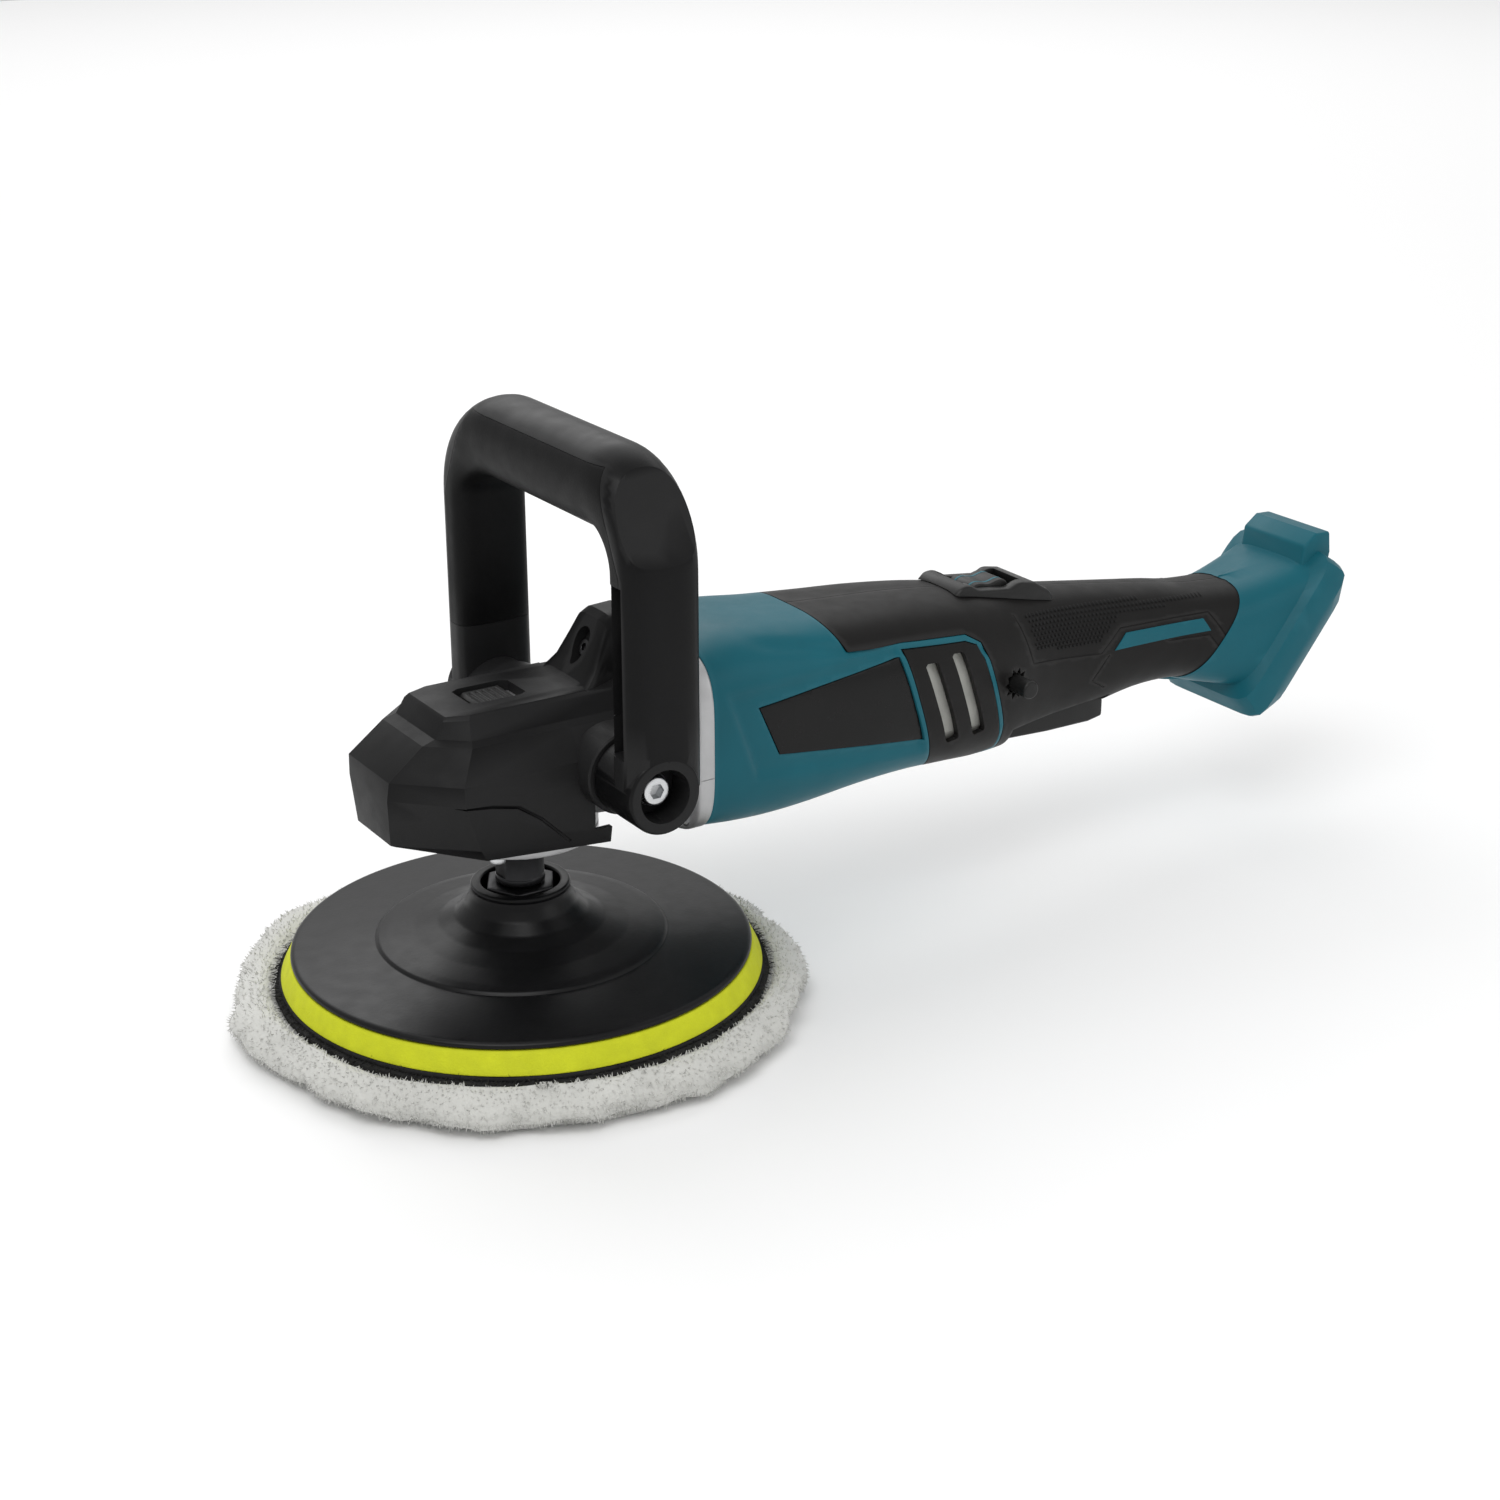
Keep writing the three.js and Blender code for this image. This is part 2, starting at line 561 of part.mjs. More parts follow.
// The outline that trims the loop flat, seen along X, set in by the given amount.
function loopTrim(inset) {
  const side = HANDLE_OUTER - inset;
  const shape = new THREE.Shape();
  const low = 60;
  const outline = [[side, low], [side, 187 - inset * 0.5], [51 - inset * 0.5, 224.5 - inset]];
  shape.moveTo(-outline[0][0], outline[0][1]);
  outline.slice(1).forEach(([y, z]) => shape.lineTo(-y, z));
  outline.slice().reverse().forEach(([y, z]) => shape.lineTo(y, z));
  shape.closePath();
  const geometry = new THREE.ExtrudeGeometry(shape, { depth: 60, bevelEnabled: false });
  geometry.rotateX(Math.PI / 2);
  geometry.rotateZ(Math.PI / 2);
  geometry.translate(ARM_X - 30, 0, 0);
  return solid(geometry);
}

function loopHandle() {
  const loop = loft(loopSections(PIVOT_Z, 0)).intersect(loopTrim(0));
  const softZone = loopTrim(STRIP).intersect(block(-20, 60, -80, 80, GRIP_START, 240));
  const softZoneFrame = loopTrim(STRIP - GAP).intersect(block(-20, 60, -80, 80, GRIP_START - GAP, 240));
  const core = block(ARM_X - 6, ARM_X + 6, -66, 66, CROSSBAR_Z - 6, CROSSBAR_Z + 6);
  const coreHole = block(ARM_X - 6.3, ARM_X + 6.3, -67, 67, CROSSBAR_Z - 6.3, CROSSBAR_Z + 6.3);
  const coreRoom = coreHole.intersect(loopTrim(STRIP - GAP));
  const chamfer = loft([110, 196].map((z) => [[28.8, 50], [45, 50], [45, 62.6]].map(([x, y]) => (
    new THREE.Vector3(x, y, z)))));
  const slots = [block(-20, 25, -65.2, -56.2, 119, 181), block(21, 60, 58.5, 65.2, 119, 181), chamfer];
  const hub = turnedY(rod(PIVOT_RADIUS, HUB_INNER, HANDLE_OUTER), PIVOT_X, PIVOT_Z, 24);
  const pocket = turnedY(rod(9.9, 58, 80), PIVOT_X, PIVOT_Z, 24);
  const bolt = turnedY(rod(4.6, 40, 60), PIVOT_X, PIVOT_Z, 20);
  const frame = join(cut(loop, softZoneFrame), core.intersect(loopTrim(1)), hub, mirrored(hub));
  const shape = cut(frame, pocket, mirrored(pocket), bolt, mirrored(bolt), ...slots);
  add('loop_handle', shape, BLACK, 0.45);
  add('loop_handle_grip', cut(loop.intersect(softZone), coreRoom, ...slots), RUBBER, 0.75);
  const boltProfile = [
    [0, 33], [4, 33], [4, 58.3], [6.3, 58.3], [6.3, 63.6], [5.7, 64.2], [3.3, 64.2], [3.3, 61], [0, 61],
  ];
  const fastener = turnedY(boltProfile, PIVOT_X, PIVOT_Z, 24);
  add('handle_bolt_left', mirrored(fastener), STEEL, 0.3, 1);
  add('handle_bolt_right', fastener, STEEL, 0.3, 1);
}

// ---- Body ----
function shifted(outline, dx, dz) {
  return outline.map(([x, z]) => [x + dx, z + dz]);
}

// An outline grown or shrunk about its middle by about the given distance.
function grown(outline, amount) {
  const middle = outline.reduce(([a, b], [x, z]) => [a + x / outline.length, b + z / outline.length], [0, 0]);
  return outline.map(([x, z]) => {
    const dx = x - middle[0];
    const dz = z - middle[1];
    const length = Math.hypot(dx, dz);
    return [x + dx * amount / length, z + dz * amount / length];
  });
}

function bodyShells() {
  const outer = body(0, 61.3, 356);
  const inner = body(SHELL, 50, 370);
  const shell = cut(outer, inner);
  const front = sidePrism([[40, 50], [40, 160], ...HOUSING_EDGE], -60, 60);
  const rear = sidePrism([...shifted(HOUSING_EDGE, GAP, GAP), [400, 50], [400, 160]], -60, 60);
  const vent = sidePrism(VENT_OUTLINE, 20, 60);
  const ventHole = sidePrism(grown(VENT_OUTLINE, GAP + 0.2), 20, 60);
  const badgeHole = sidePrism(grown(BADGE_OUTLINE, GAP + 0.2), 30, 60);
  const badgeFloor = body(1.4, 50, 360);
  const badgeRecess = cut(badgeHole, badgeFloor);
  const screwRoom = CASE_SCREW_PLACES.map(([y, z]) => turnedX(rod(2.3, 55, 76), z, 12).translate([0, y, 0]));
  const screwBosses = CASE_SCREW_PLACES.map(([y, z]) => (
    turnedX(rod(4.4, 61.3, 74), z, 16).translate([0, y, 0]).intersect(body(1, 50, 360))));
  const housing = cut(join(shell.intersect(front), ...screwBosses), ventHole, mirrored(ventHole), badgeRecess,
    mirrored(badgeRecess), ...screwRoom);
  add('motor_housing', housing, TEAL, 0.45);

  const badge = sidePrism(BADGE_OUTLINE, 30, 60).intersect(cut(body(0.3, 50, 360), body(1.1, 50, 360)));
  add('nameplate_right', badge, 0x141414, 0.35);
  add('nameplate_left', mirrored(badge), 0x141414, 0.35);

  const slots = [0, 1].map((i) => sidePrism(shifted([
    [160.5, 114.5], [166, 114.5], [178, 80], [172.5, 80],
  ], 14 * i, 0.6 * i), 20, 60));
  const panel = cut(vent.intersect(shell), ...slots);
  add('vent_panel_right', panel, 0x211e1d, 0.5);
  add('vent_panel_left', mirrored(panel), 0x211e1d, 0.5);
  const mesh = sidePrism(grown(VENT_OUTLINE, -3), 20, 60)
    .intersect(cut(body(SHELL + 0.4, 50, 360), body(SHELL + 1.2, 50, 360)));
  add('filter_mesh_right', mesh, 0x9c9c98, 0.6, 0.5);
  add('filter_mesh_left', mirrored(mesh), 0x9c9c98, 0.6, 0.5);

  const triggerRoom = join(block(211.4, 271, -40, 40, 40, 74.5), block(246, 271, -13.7, 13.7, 40, 81));
  const dialRoom = block(DIAL_X - 17, DIAL_X + 17, -8.6, 8.6, 104, 160);
  const buttonHole = turnedY(rod(4.2, -60, 0), BUTTON_X, BUTTON_Z, 20);
  const mountRoom = mountBlock(60, -80, 160, -MOUNT_WALL - GAP, 60);
  const grip = cut(shell.intersect(rear), triggerRoom, dialRoom, buttonHole, mountRoom);
  add('handle_shell_left', grip.intersect(block(0, 400, -80, -GAP / 2, 0, 200)), BLACK, 0.6);
  const rightHalf = grip.intersect(block(0, 400, GAP / 2, 80, 0, 200));
  const screwPlaces = [[232, 112], [300, 108], [318, 76]];
  const bossAt = ([x, z]) => turnedY(rod(3.6, 0.4, 40), x, z, 16).intersect(body(1, 50, 360));
  const boreAt = ([x, z]) => turnedY(rod(2.6, 4, 60), x, z, 14);
  const bosses = screwPlaces.map(bossAt);
  const bores = screwPlaces.map(boreAt);
  const pilots = screwPlaces.map(([x, z]) => turnedY(rod(1.7, -5, 8), x, z, 12));
  add('handle_shell_right', cut(join(rightHalf, ...bosses), ...bores, ...pilots), BLACK, 0.6);
  const screw = [[0, -2.5], [1.4, -2.5], [1.4, 4.3], [2.3, 4.3], [2.3, 6.6], [0, 6.6]];
  screwPlaces.forEach(([x, z], i) => add(`handle_shell_screw_${i + 1}`, turnedY(screw, x, z, 12), STEEL, 0.35, 1));
}

// ---- Controls ----
function controls() {
  const paddle = sidePrism([
    [213, 65], [213, 72.3], [222, 74.6], [222, 79], [258, 79], [260, 74.2], [267.6, 73.8], [269.2, 72],
    [269.2, 64.6], [262, 63.4], [240, 63.6],
  ], -13.2, 13.2, 1.2);
  const pinHole = turnedY(rod(1.9, -30, 30), TRIGGER_PIVOT_X, TRIGGER_PIVOT_Z, 16);
  add('trigger', cut(paddle, pinHole), BLACK, 0.55);
  add('trigger_pin', turnedY(rod(1.5, -14.5, 14.5), TRIGGER_PIVOT_X, TRIGGER_PIVOT_Z, 14), STEEL, 0.3, 1);
  add('trigger_spring', turnedZ(ring(2.2, 3.4, 79.4, 83.4), 14).translate([254, 0, 0]), STEEL, 0.4, 1);
  add('lock_on_button', turnedY([[0, -38.8], [3, -38.8], [3.7, -38], [3.7, -22], [0, -22]], BUTTON_X, BUTTON_Z, 24),
    BLACK, 0.45);
  add('lock_on_spring', turnedY(ring(1.8, 3, -21.6, -14.4), BUTTON_X, BUTTON_Z, 14), STEEL, 0.4, 1);
  add('switch_module', block(222, 262, -10, 10, 84, 103), 0x2c2c2e, 0.6);
  add('controller_board', block(152, 198, -20, 20, 88, 90), 0x1c5a34, 0.6);

  const bezelSide = [
    [187, 129], [193, 135.4], [197.5, 135.6], [202, 132.4], [218, 130.2], [222.5, 132.4], [230, 131], [238, 125.5],
    [241, 119],
  ];
  const bezelBody = sidePrism([...bezelSide, [241, 105], [187, 105]], -13.5, 13.5, 1);
  const bezelRoom = block(DIAL_X - 14.6, DIAL_X + 14.6, -8.6, 8.6, 100, 160);
  add('dial_bezel', cut(bezelBody, body(-GAP, 50, 360), bezelRoom), BLACK, 0.5);
  const lobes = 6;
  const outline = [];
  for (let i = 0; i < 36; i += 1) {
    const angle = 2 * Math.PI * i / 36;
    const reach = DIAL_RADIUS - 1.2 + 1.2 * Math.cos(lobes * angle);
    outline.push([DIAL_X + reach * Math.cos(angle), DIAL_Z + reach * Math.sin(angle)]);
  }
  const dialBore = turnedY(rod(2.3, -20, 20), DIAL_X, DIAL_Z, 14);
  add('speed_dial', cut(sidePrism(outline, -7.8, 7.8, 0.6), dialBore), BLACK, 0.5);
}

// ---- Motor ----
function motor() {
  const statorTeeth = 6;
  let stator = turnedX(ring(15.2, 30, 75, 125), MOTOR_AXIS);
  for (let i = 0; i < statorTeeth; i += 1) {
    const slot = block(70, 130, -4, 4, 17.5, 25).rotate([360 * i / statorTeeth, 0, 0]).translate([0, 0, MOTOR_AXIS]);
    stator = cut(stator, slot);
  }
  add('stator', stator, COPPER, 0.5, 0.6);
  add('rotor_core', turnedX(ring(4 + GAP, 14.4, 77, 123), MOTOR_AXIS), 0x77797c, 0.45, 0.9);
  const shaft = [[0, 16.2], [2.1, 16.2], [2.1, 36.4], [4, 36.4], [4, 148], [0, 148]];
  add('rotor_shaft', turnedX(shaft, MOTOR_AXIS, 24), STEEL, 0.25, 1);
  const blades = 9;
  let fan = turnedX(ring(4 + GAP, 29, 69, 71), MOTOR_AXIS);
  fan = join(fan, turnedX(ring(4 + GAP, 8, 57, 69.5), MOTOR_AXIS, 24));
  for (let i = 0; i < blades; i += 1) {
    const blade = block(58, 69.5, -0.7, 0.7, 12, 28.4).rotate([360 * i / blades, 0, 0]);
    fan = join(fan, blade.translate([0, 0, MOTOR_AXIS]));
  }
  add('cooling_fan', fan, 0x2b2b2d, 0.6);
  const endPlate = cut(turnedX(ring(11.3, 29.2, 139, 148.5), MOTOR_AXIS),
    turnedX(ring(15, 26, 142, 160), MOTOR_AXIS));
  add('motor_end_plate', endPlate, BLACK, 0.6);
}

// ---- Battery mount ----
// Works in the slanted plane of the mount's rear face: across = Y, up = along the face, back = out of the face.
function mountFrame() {
  const up = MOUNT_HIGH.clone().sub(MOUNT_LOW);
  const length = up.length();
  up.normalize();
  const origin = MOUNT_LOW.clone();
  return { up, length, origin };
}

function mountPoint(across, along, back) {
  const { up, origin } = mountFrame();
  return new THREE.Vector3(
    origin.x + up.x * along + up.y * back, across, origin.y + up.y * along - up.x * back);
}

function mountRing(back, low, high, half, squareness) {
  const points = [];
  for (let i = 0; i < 32; i += 1) {
    const angle = 2 * Math.PI * i / 32;
    const c = Math.cos(angle);
    const s = Math.sin(angle);
    const reach = (Math.abs(c) ** squareness + Math.abs(s) ** squareness) ** (-1 / squareness);
    points.push(mountPoint(half * reach * c, (low + high) / 2 + (high - low) / 2 * reach * s, back));
  }
  return points;
}

// A box in the mount's own directions.
function mountBlock(half, low, high, from, to) {
  return loft([from, to].map((back) => [[-half, low], [half, low], [half, high], [-half, high]]
    .map(([across, along]) => mountPoint(across, along, back))));
}

function batteryMount() {
  const { length } = mountFrame();
  const flare = loft([
    mountRing(-44.5, -17, 34, 20.5, 2.7),
    mountRing(-31, -13, 50, 24.5, 3.2),
    mountRing(-17.5, -7.5, 67, MOUNT_HALF_WIDTH - 1, 7),
    mountRing(-9.5, -10, 67, MOUNT_HALF_WIDTH, 10),
    mountRing(-7.5, -9, 66, MOUNT_HALF_WIDTH, 10),
    mountRing(0, 0, length, 27, 10),
  ]);
  const tab = sidePrism([
    [372, 104], [374.5, 121.5], [381, 126], [388.3, 125.6], [389.2, 117.5], [387, 104],
  ], -17, 17, 1);
  const pocket = mountBlock(22, 4, 56, -9, 10);
  const handleRoom = cut(body(-GAP, 50, 360), mountBlock(60, -80, 160, -MOUNT_WALL, 60));
  const wireHole = mountBlock(8, 14, 30, -60, 1);
  const shape = cut(join(flare, tab), handleRoom, pocket, wireHole);
  add('battery_mount', shape, TEAL, 0.45);
  add('terminal_block', mountBlock(16, 6, 25, -8.6, -2), BLACK, 0.5);
  const blade = mountBlock(0.5, 25.4, 38, -8.6, -3);
  const blades = [-12, 0, 12].map((offset) => blade.translate([0, offset, 0]));
  add('battery_terminals', join(mountBlock(14, 25.4, 28.4, -8.6, -7.4), ...blades), 0xc7a24a, 0.3, 1);
}

padStack();
spindle();
gears();
bearings();
bearingCover();
gearCase();
headCover();
spindleLock();
loopHandle();
bodyShells();
controls();
motor();
batteryMount();

export default group;
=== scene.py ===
"""Cordless rotary polisher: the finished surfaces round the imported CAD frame. Shapes are in millimetres."""
import json
import math
import random

import bmesh
import bpy
from mathutils import Matrix, Vector, noise


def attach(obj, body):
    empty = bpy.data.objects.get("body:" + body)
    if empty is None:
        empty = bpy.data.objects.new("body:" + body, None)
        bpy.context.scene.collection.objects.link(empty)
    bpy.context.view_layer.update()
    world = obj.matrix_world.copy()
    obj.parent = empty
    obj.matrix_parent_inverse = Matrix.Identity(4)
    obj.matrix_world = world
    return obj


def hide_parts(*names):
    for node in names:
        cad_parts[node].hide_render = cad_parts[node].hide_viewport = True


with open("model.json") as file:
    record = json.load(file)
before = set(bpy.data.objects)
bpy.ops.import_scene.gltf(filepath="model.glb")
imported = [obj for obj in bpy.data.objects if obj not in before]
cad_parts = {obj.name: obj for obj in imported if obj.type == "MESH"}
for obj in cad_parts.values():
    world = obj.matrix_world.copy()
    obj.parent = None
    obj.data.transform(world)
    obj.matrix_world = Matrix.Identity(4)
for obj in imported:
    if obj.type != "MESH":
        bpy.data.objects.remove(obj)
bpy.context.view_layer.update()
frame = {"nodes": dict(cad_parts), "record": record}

MM = 0.001
SEED = 20


# ------------------------ camera, light and floor
CAMERA_AZIMUTH = math.radians(-33.0)
CAMERA_ELEVATION = math.radians(21.8)
CAMERA_PLACE = Vector((-0.39403, -0.76335, 0.44518))
LENS = 60.72
SENSOR_WIDTH = 36
WORLD_STRENGTH = 0.6
FLOOR_PLACE = (0.15, 0, -0.0005)
FLOOR_SIZE = 8
# Area lights in metres and watts: name, place, target, size, power.
LIGHTS = [
    ("key", (-0.5, -0.5, 1.3), (0.1, 0, 0.08), (0.9, 0.7), 8),
    ("fill", (0.9, -1.2, 0.7), (0.15, 0, 0.1), (0.8, 0.8), 2),
    ("rim", (0.2, 1.2, 0.9), (0.1, 0, 0.1), (1.2, 0.5), 2.6),
    ("backdrop", (1.4, 2.3, 2.2), (1.4, 2.3, 0), (4.0, 3.4), 48),
]


def make_camera():
    back = Vector((
        math.sin(CAMERA_AZIMUTH) * math.cos(CAMERA_ELEVATION),
        -math.cos(CAMERA_AZIMUTH) * math.cos(CAMERA_ELEVATION),
        math.sin(CAMERA_ELEVATION),
    ))
    data = bpy.data.cameras.new("camera")
    data.lens = LENS
    data.sensor_width = SENSOR_WIDTH
    data.clip_start = 0.01
    camera = bpy.data.objects.new("camera", data)
    camera.location = CAMERA_PLACE
    camera.rotation_euler = (-back).to_track_quat("-Z", "Y").to_euler()
    bpy.context.scene.collection.objects.link(camera)
    bpy.context.scene.camera = camera


def area_light(name, place, target, size, power):
    data = bpy.data.lights.new(name, "AREA")
    data.shape = "RECTANGLE"
    data.size, data.size_y = size
    data.energy = power
    light = bpy.data.objects.new(name, data)
    light.location = place
    light.rotation_euler = (Vector(target) - Vector(place)).to_track_quat("-Z", "Y").to_euler()
    bpy.context.scene.collection.objects.link(light)


def make_studio():
    world = bpy.data.worlds.new("studio")
    world.use_nodes = True
    backlight = world.node_tree.nodes["Background"]
    socket(backlight, "Color", (1, 1, 1, 1))
    socket(backlight, "Strength", WORLD_STRENGTH)
    bpy.context.scene.world = world
    bpy.context.scene.view_settings.view_transform = "Standard"
    for light in LIGHTS:
        area_light(*light)
    bpy.ops.mesh.primitive_plane_add(size=FLOOR_SIZE, location=FLOOR_PLACE)
    floor = bpy.context.active_object
    floor.name = "floor"
    floor.data.materials.append(finish("floor_white", (0.93, 0.93, 0.93), 0.75))


# ------------------------ materials
NOISE_LOW = 0.3
NOISE_HIGH = 0.7
EDGE_LOW = 0.52
EDGE_HIGH = 0.62
BUMP_STRENGTH = 0.6
ROUGHNESS_SCALE = 2.3
# Colour sockets of a mix node.
MIX_A = 6
MIX_B = 7
MIX_RESULT = 2


def socket(node, name, value):
    node.inputs[name].default_value = value


def finish(name, colour, roughness, metallic=0.0, specular=0.5, mottle=0.0, mottle_scale=60.0,
           grain=0.0, grain_scale=900.0, wear=0.0, sheen=0.0, rough_range=0.08):
    """A moulded, cast or woven finish with mottled colour, uneven roughness, fine grain and worn edges."""
    material = bpy.data.materials.new(name)
    material.use_nodes = True
    tree = material.node_tree
    shader = tree.nodes["Principled BSDF"]
    socket(shader, "Metallic", metallic)
    socket(shader, "Specular IOR Level", specular)
    socket(shader, "Sheen Weight", sheen)
    place = tree.nodes.new("ShaderNodeTexCoord").outputs["Object"]

    def noise_at(scale, detail=4.0):
        node = tree.nodes.new("ShaderNodeTexNoise")
        tree.links.new(place, node.inputs["Vector"])
        socket(node, "Scale", scale)
        socket(node, "Detail", detail)
        return node.outputs["Fac"]

    def spread(value, from_low, from_high, low, high):
        node = tree.nodes.new("ShaderNodeMapRange")
        tree.links.new(value, node.inputs["Value"])
        socket(node, "From Min", from_low)
        socket(node, "From Max", from_high)
        socket(node, "To Min", low)
        socket(node, "To Max", high)
        return node.outputs["Result"]

    ramp = tree.nodes.new("ShaderNodeValToRGB")
    dark, light = ramp.color_ramp.elements
    dark.position = NOISE_LOW
    light.position = NOISE_HIGH
    dark.color = [c * (1 - mottle) for c in colour] + [1]
    light.color = [min(1, c * (1 + mottle)) for c in colour] + [1]
    tree.links.new(noise_at(mottle_scale), ramp.inputs["Fac"])
    colour_out = ramp.outputs["Color"]
    if wear > 0:
        geometry = tree.nodes.new("ShaderNodeNewGeometry")
        edge = spread(geometry.outputs["Pointiness"], EDGE_LOW, EDGE_HIGH, 0.0, wear)
        mix = tree.nodes.new("ShaderNodeMix")
        mix.data_type = "RGBA"
        tree.links.new(edge, mix.inputs["Factor"])
        tree.links.new(colour_out, mix.inputs[MIX_A])
        mix.inputs[MIX_B].default_value = [min(1, c * 1.6 + 0.04) for c in colour] + [1]
        colour_out = mix.outputs[MIX_RESULT]
    tree.links.new(colour_out, shader.inputs["Base Color"])
    half = rough_range / 2
    uneven = noise_at(mottle_scale * ROUGHNESS_SCALE)
    rough = spread(uneven, NOISE_LOW, NOISE_HIGH, roughness - half, roughness + half)
    tree.links.new(rough, shader.inputs["Roughness"])
    if grain > 0:
        bump = tree.nodes.new("ShaderNodeBump")
        socket(bump, "Distance", grain * MM)
        socket(bump, "Strength", BUMP_STRENGTH)
        tree.links.new(noise_at(grain_scale, 2.0), bump.inputs["Height"])
        tree.links.new(bump.outputs["Normal"], shader.inputs["Normal"])
    return material


# ------------------------ mesh helpers
def piece(name, points, faces, material, sharp=35):
    """A mesh object from points in millimetres, with edges over the sharp angle left unsmoothed."""
    mesh = bpy.data.meshes.new(name)
    mesh.from_pydata([Vector(p) * MM for p in points], [], faces)
    mesh.validate()
    built = bpy.data.objects.new(name, mesh)
    bpy.context.scene.collection.objects.link(built)
    outward(built)
    built.data.materials.append(material)
    shade(built, sharp)
    return built


def outward(thing):
    shape = bmesh.new()
    shape.from_mesh(thing.data)
    bmesh.ops.recalc_face_normals(shape, faces=shape.faces)
    if shape.calc_volume(signed=True) < 0:
        bmesh.ops.reverse_faces(shape, faces=shape.faces)
    shape.to_mesh(thing.data)
    shape.free()


def shade(thing, sharp=35):
    thing.data.polygons.foreach_set("use_smooth", [True] * len(thing.data.polygons))
    thing.data.set_sharp_from_angle(angle=math.radians(sharp))


def bake_modifiers(thing):
    """Applies every modifier on an object to its mesh."""
    graph = bpy.context.evaluated_depsgraph_get()
    mesh = bpy.data.meshes.new_from_object(thing.evaluated_get(graph), depsgraph=graph)
    thing.modifiers.clear()
    old = thing.data
    thing.data = mesh
    bpy.data.meshes.remove(old)


def combine(thing, tool, operation):
    change = thing.modifiers.new("combine", "BOOLEAN")
    change.operation = operation
    change.solver = "EXACT"
    change.object = tool
    bake_modifiers(thing)
    bpy.data.objects.remove(tool)
    return thing


def cut(thing, *tools):
    for tool in tools:
        combine(thing, tool, "DIFFERENCE")
    return thing


def keep(thing, tool):
    return combine(thing, tool, "INTERSECT")


def rounded(thing, width, segments=2, angle=40, sharp=35):
    """Rounds the sharp edges and shades the result."""
    change = thing.modifiers.new("round", "BEVEL")
    change.width = width * MM
    change.segments = segments
    change.limit_method = "ANGLE"
    change.angle_limit = math.radians(angle)
    change.use_clamp_overlap = True
    bake_modifiers(thing)
    shade(thing, sharp)
    return thing


def loft_mesh(rings, closed=False):
    """Points and faces of a skin through rings of equal length; open ends are capped."""
    count = len(rings[0])
    points = [p for ring in rings for p in ring]
    faces = []
    spans = len(rings) if closed else len(rings) - 1
    for i in range(spans):
        row = i * count
        following = ((i + 1) % len(rings)) * count
        for j in range(count):
            k = (j + 1) % count
            faces.append((row + j, row + k, following + k, following + j))
    if not closed:
        faces.append(tuple(reversed(range(count))))
        faces.append(tuple(range((len(rings) - 1) * count, len(rings) * count)))
    return points, faces


def loft(name, rings, material, closed=False, sharp=35):
    points, faces = loft_mesh(rings, closed)
    return piece(name, points, faces, material, sharp)


def circle(count):
    """Equally spaced angles of a full turn."""
    return [2 * math.pi * i / count for i in range(count)]


def at_angle(angle, radius, height):
    return Vector((radius * math.cos(angle), radius * math.sin(angle), height))


def disc_mesh(rings):
    """Points and faces through equal profiles set round an axis, with a flat face over each open end."""
    count = len(rings[0])
    points = [p for ring in rings for p in ring]
    faces = []
    for i in range(len(rings)):
        k = (i + 1) % len(rings)
        for j in range(count - 1):
            faces.append((i * count + j, i * count + j + 1, k * count + j + 1, k * count + j))
    faces.append(tuple(i * count for i in range(len(rings))))
    faces.append(tuple(i * count + count - 1 for i in range(len(rings))))
    return points, faces


def place_about(axis, centre, radius, along, angle):
    """A point at a radius and an angle round an axis through centre."""
    c = radius * math.cos(angle)
    s = radius * math.sin(angle)
    if axis == "Z":
        return (centre[0] + c, centre[1] + s, along)
    if axis == "Y":
        return (centre[0] + c, along, centre[2] + s)
    return (along, centre[1] + c, centre[2] + s)


def turned(name, profile, material, axis="Z", centre=(0, 0, 0), segments=96, sharp=35):
    """A turned solid from (radius, along) points; they start and end on the axis or close on themselves."""
    on_axis = profile[0][0] == 0
    body = profile[1:-1] if on_axis else profile
    rings = []
    for angle in circle(segments):
        rings.append([place_about(axis, centre, r, along, angle) for r, along in body])
    count = len(body)
    points = [p for ring in rings for p in ring]
    faces = []
    for i in range(segments):
        k = (i + 1) % segments
        last = count - 1 if on_axis else count
        for j in range(last):
            m = (j + 1) % count
            faces.append((i * count + j, i * count + m, k * count + m, k * count + j))
    if on_axis:
        for row, end in ((0, profile[0]), (count - 1, profile[-1])):
            points.append(place_about(axis, centre, 0, end[1], 0))
            for i in range(segments):
                k = (i + 1) % segments
                faces.append((len(points) - 1, i * count + row, k * count + row))
    return piece(name, points, faces, material, sharp)


def rod(name, radius, start, end, axis="Z", centre=(0, 0, 0), segments=96):
    """A plain cylinder, for cutting."""
    profile = [(0, start), (radius, start), (radius, end), (0, end)]
    return turned(name, profile, TOOL, axis, centre, segments)


def softened(profile, radius, steps=4):
    """The same profile with each inner corner rounded by an arc-like curve."""
    result = [profile[0]]
    for before, corner, after in zip(profile, profile[1:], profile[2:]):
        arm_in = Vector(before) - Vector(corner)
        arm_out = Vector(after) - Vector(corner)
        reach = min(radius, arm_in.length * 0.45, arm_out.length * 0.45)
        start = Vector(corner) + arm_in.normalized() * reach
        end = Vector(corner) + arm_out.normalized() * reach
        for step in range(steps + 1):
            t = step / steps
            point = start * (1 - t) ** 2 + Vector(corner) * 2 * t * (1 - t) + end * t ** 2
            result.append((point.x, point.y))
    result.append(profile[-1])
    return result


def prism(name, outline, y0, y1, material=None):
    """A side outline of (x, z) points from y0 to y1."""
    near = [(x, y0, z) for x, z in outline]
    far = [(x, y1, z) for x, z in outline]
    return loft(name, [near, far], material or TOOL)


def block(name, x0, x1, y0, y1, z0, z1, material=None):
    return prism(name, [(x0, z0), (x1, z0), (x1, z1), (x0, z1)], y0, y1, material)


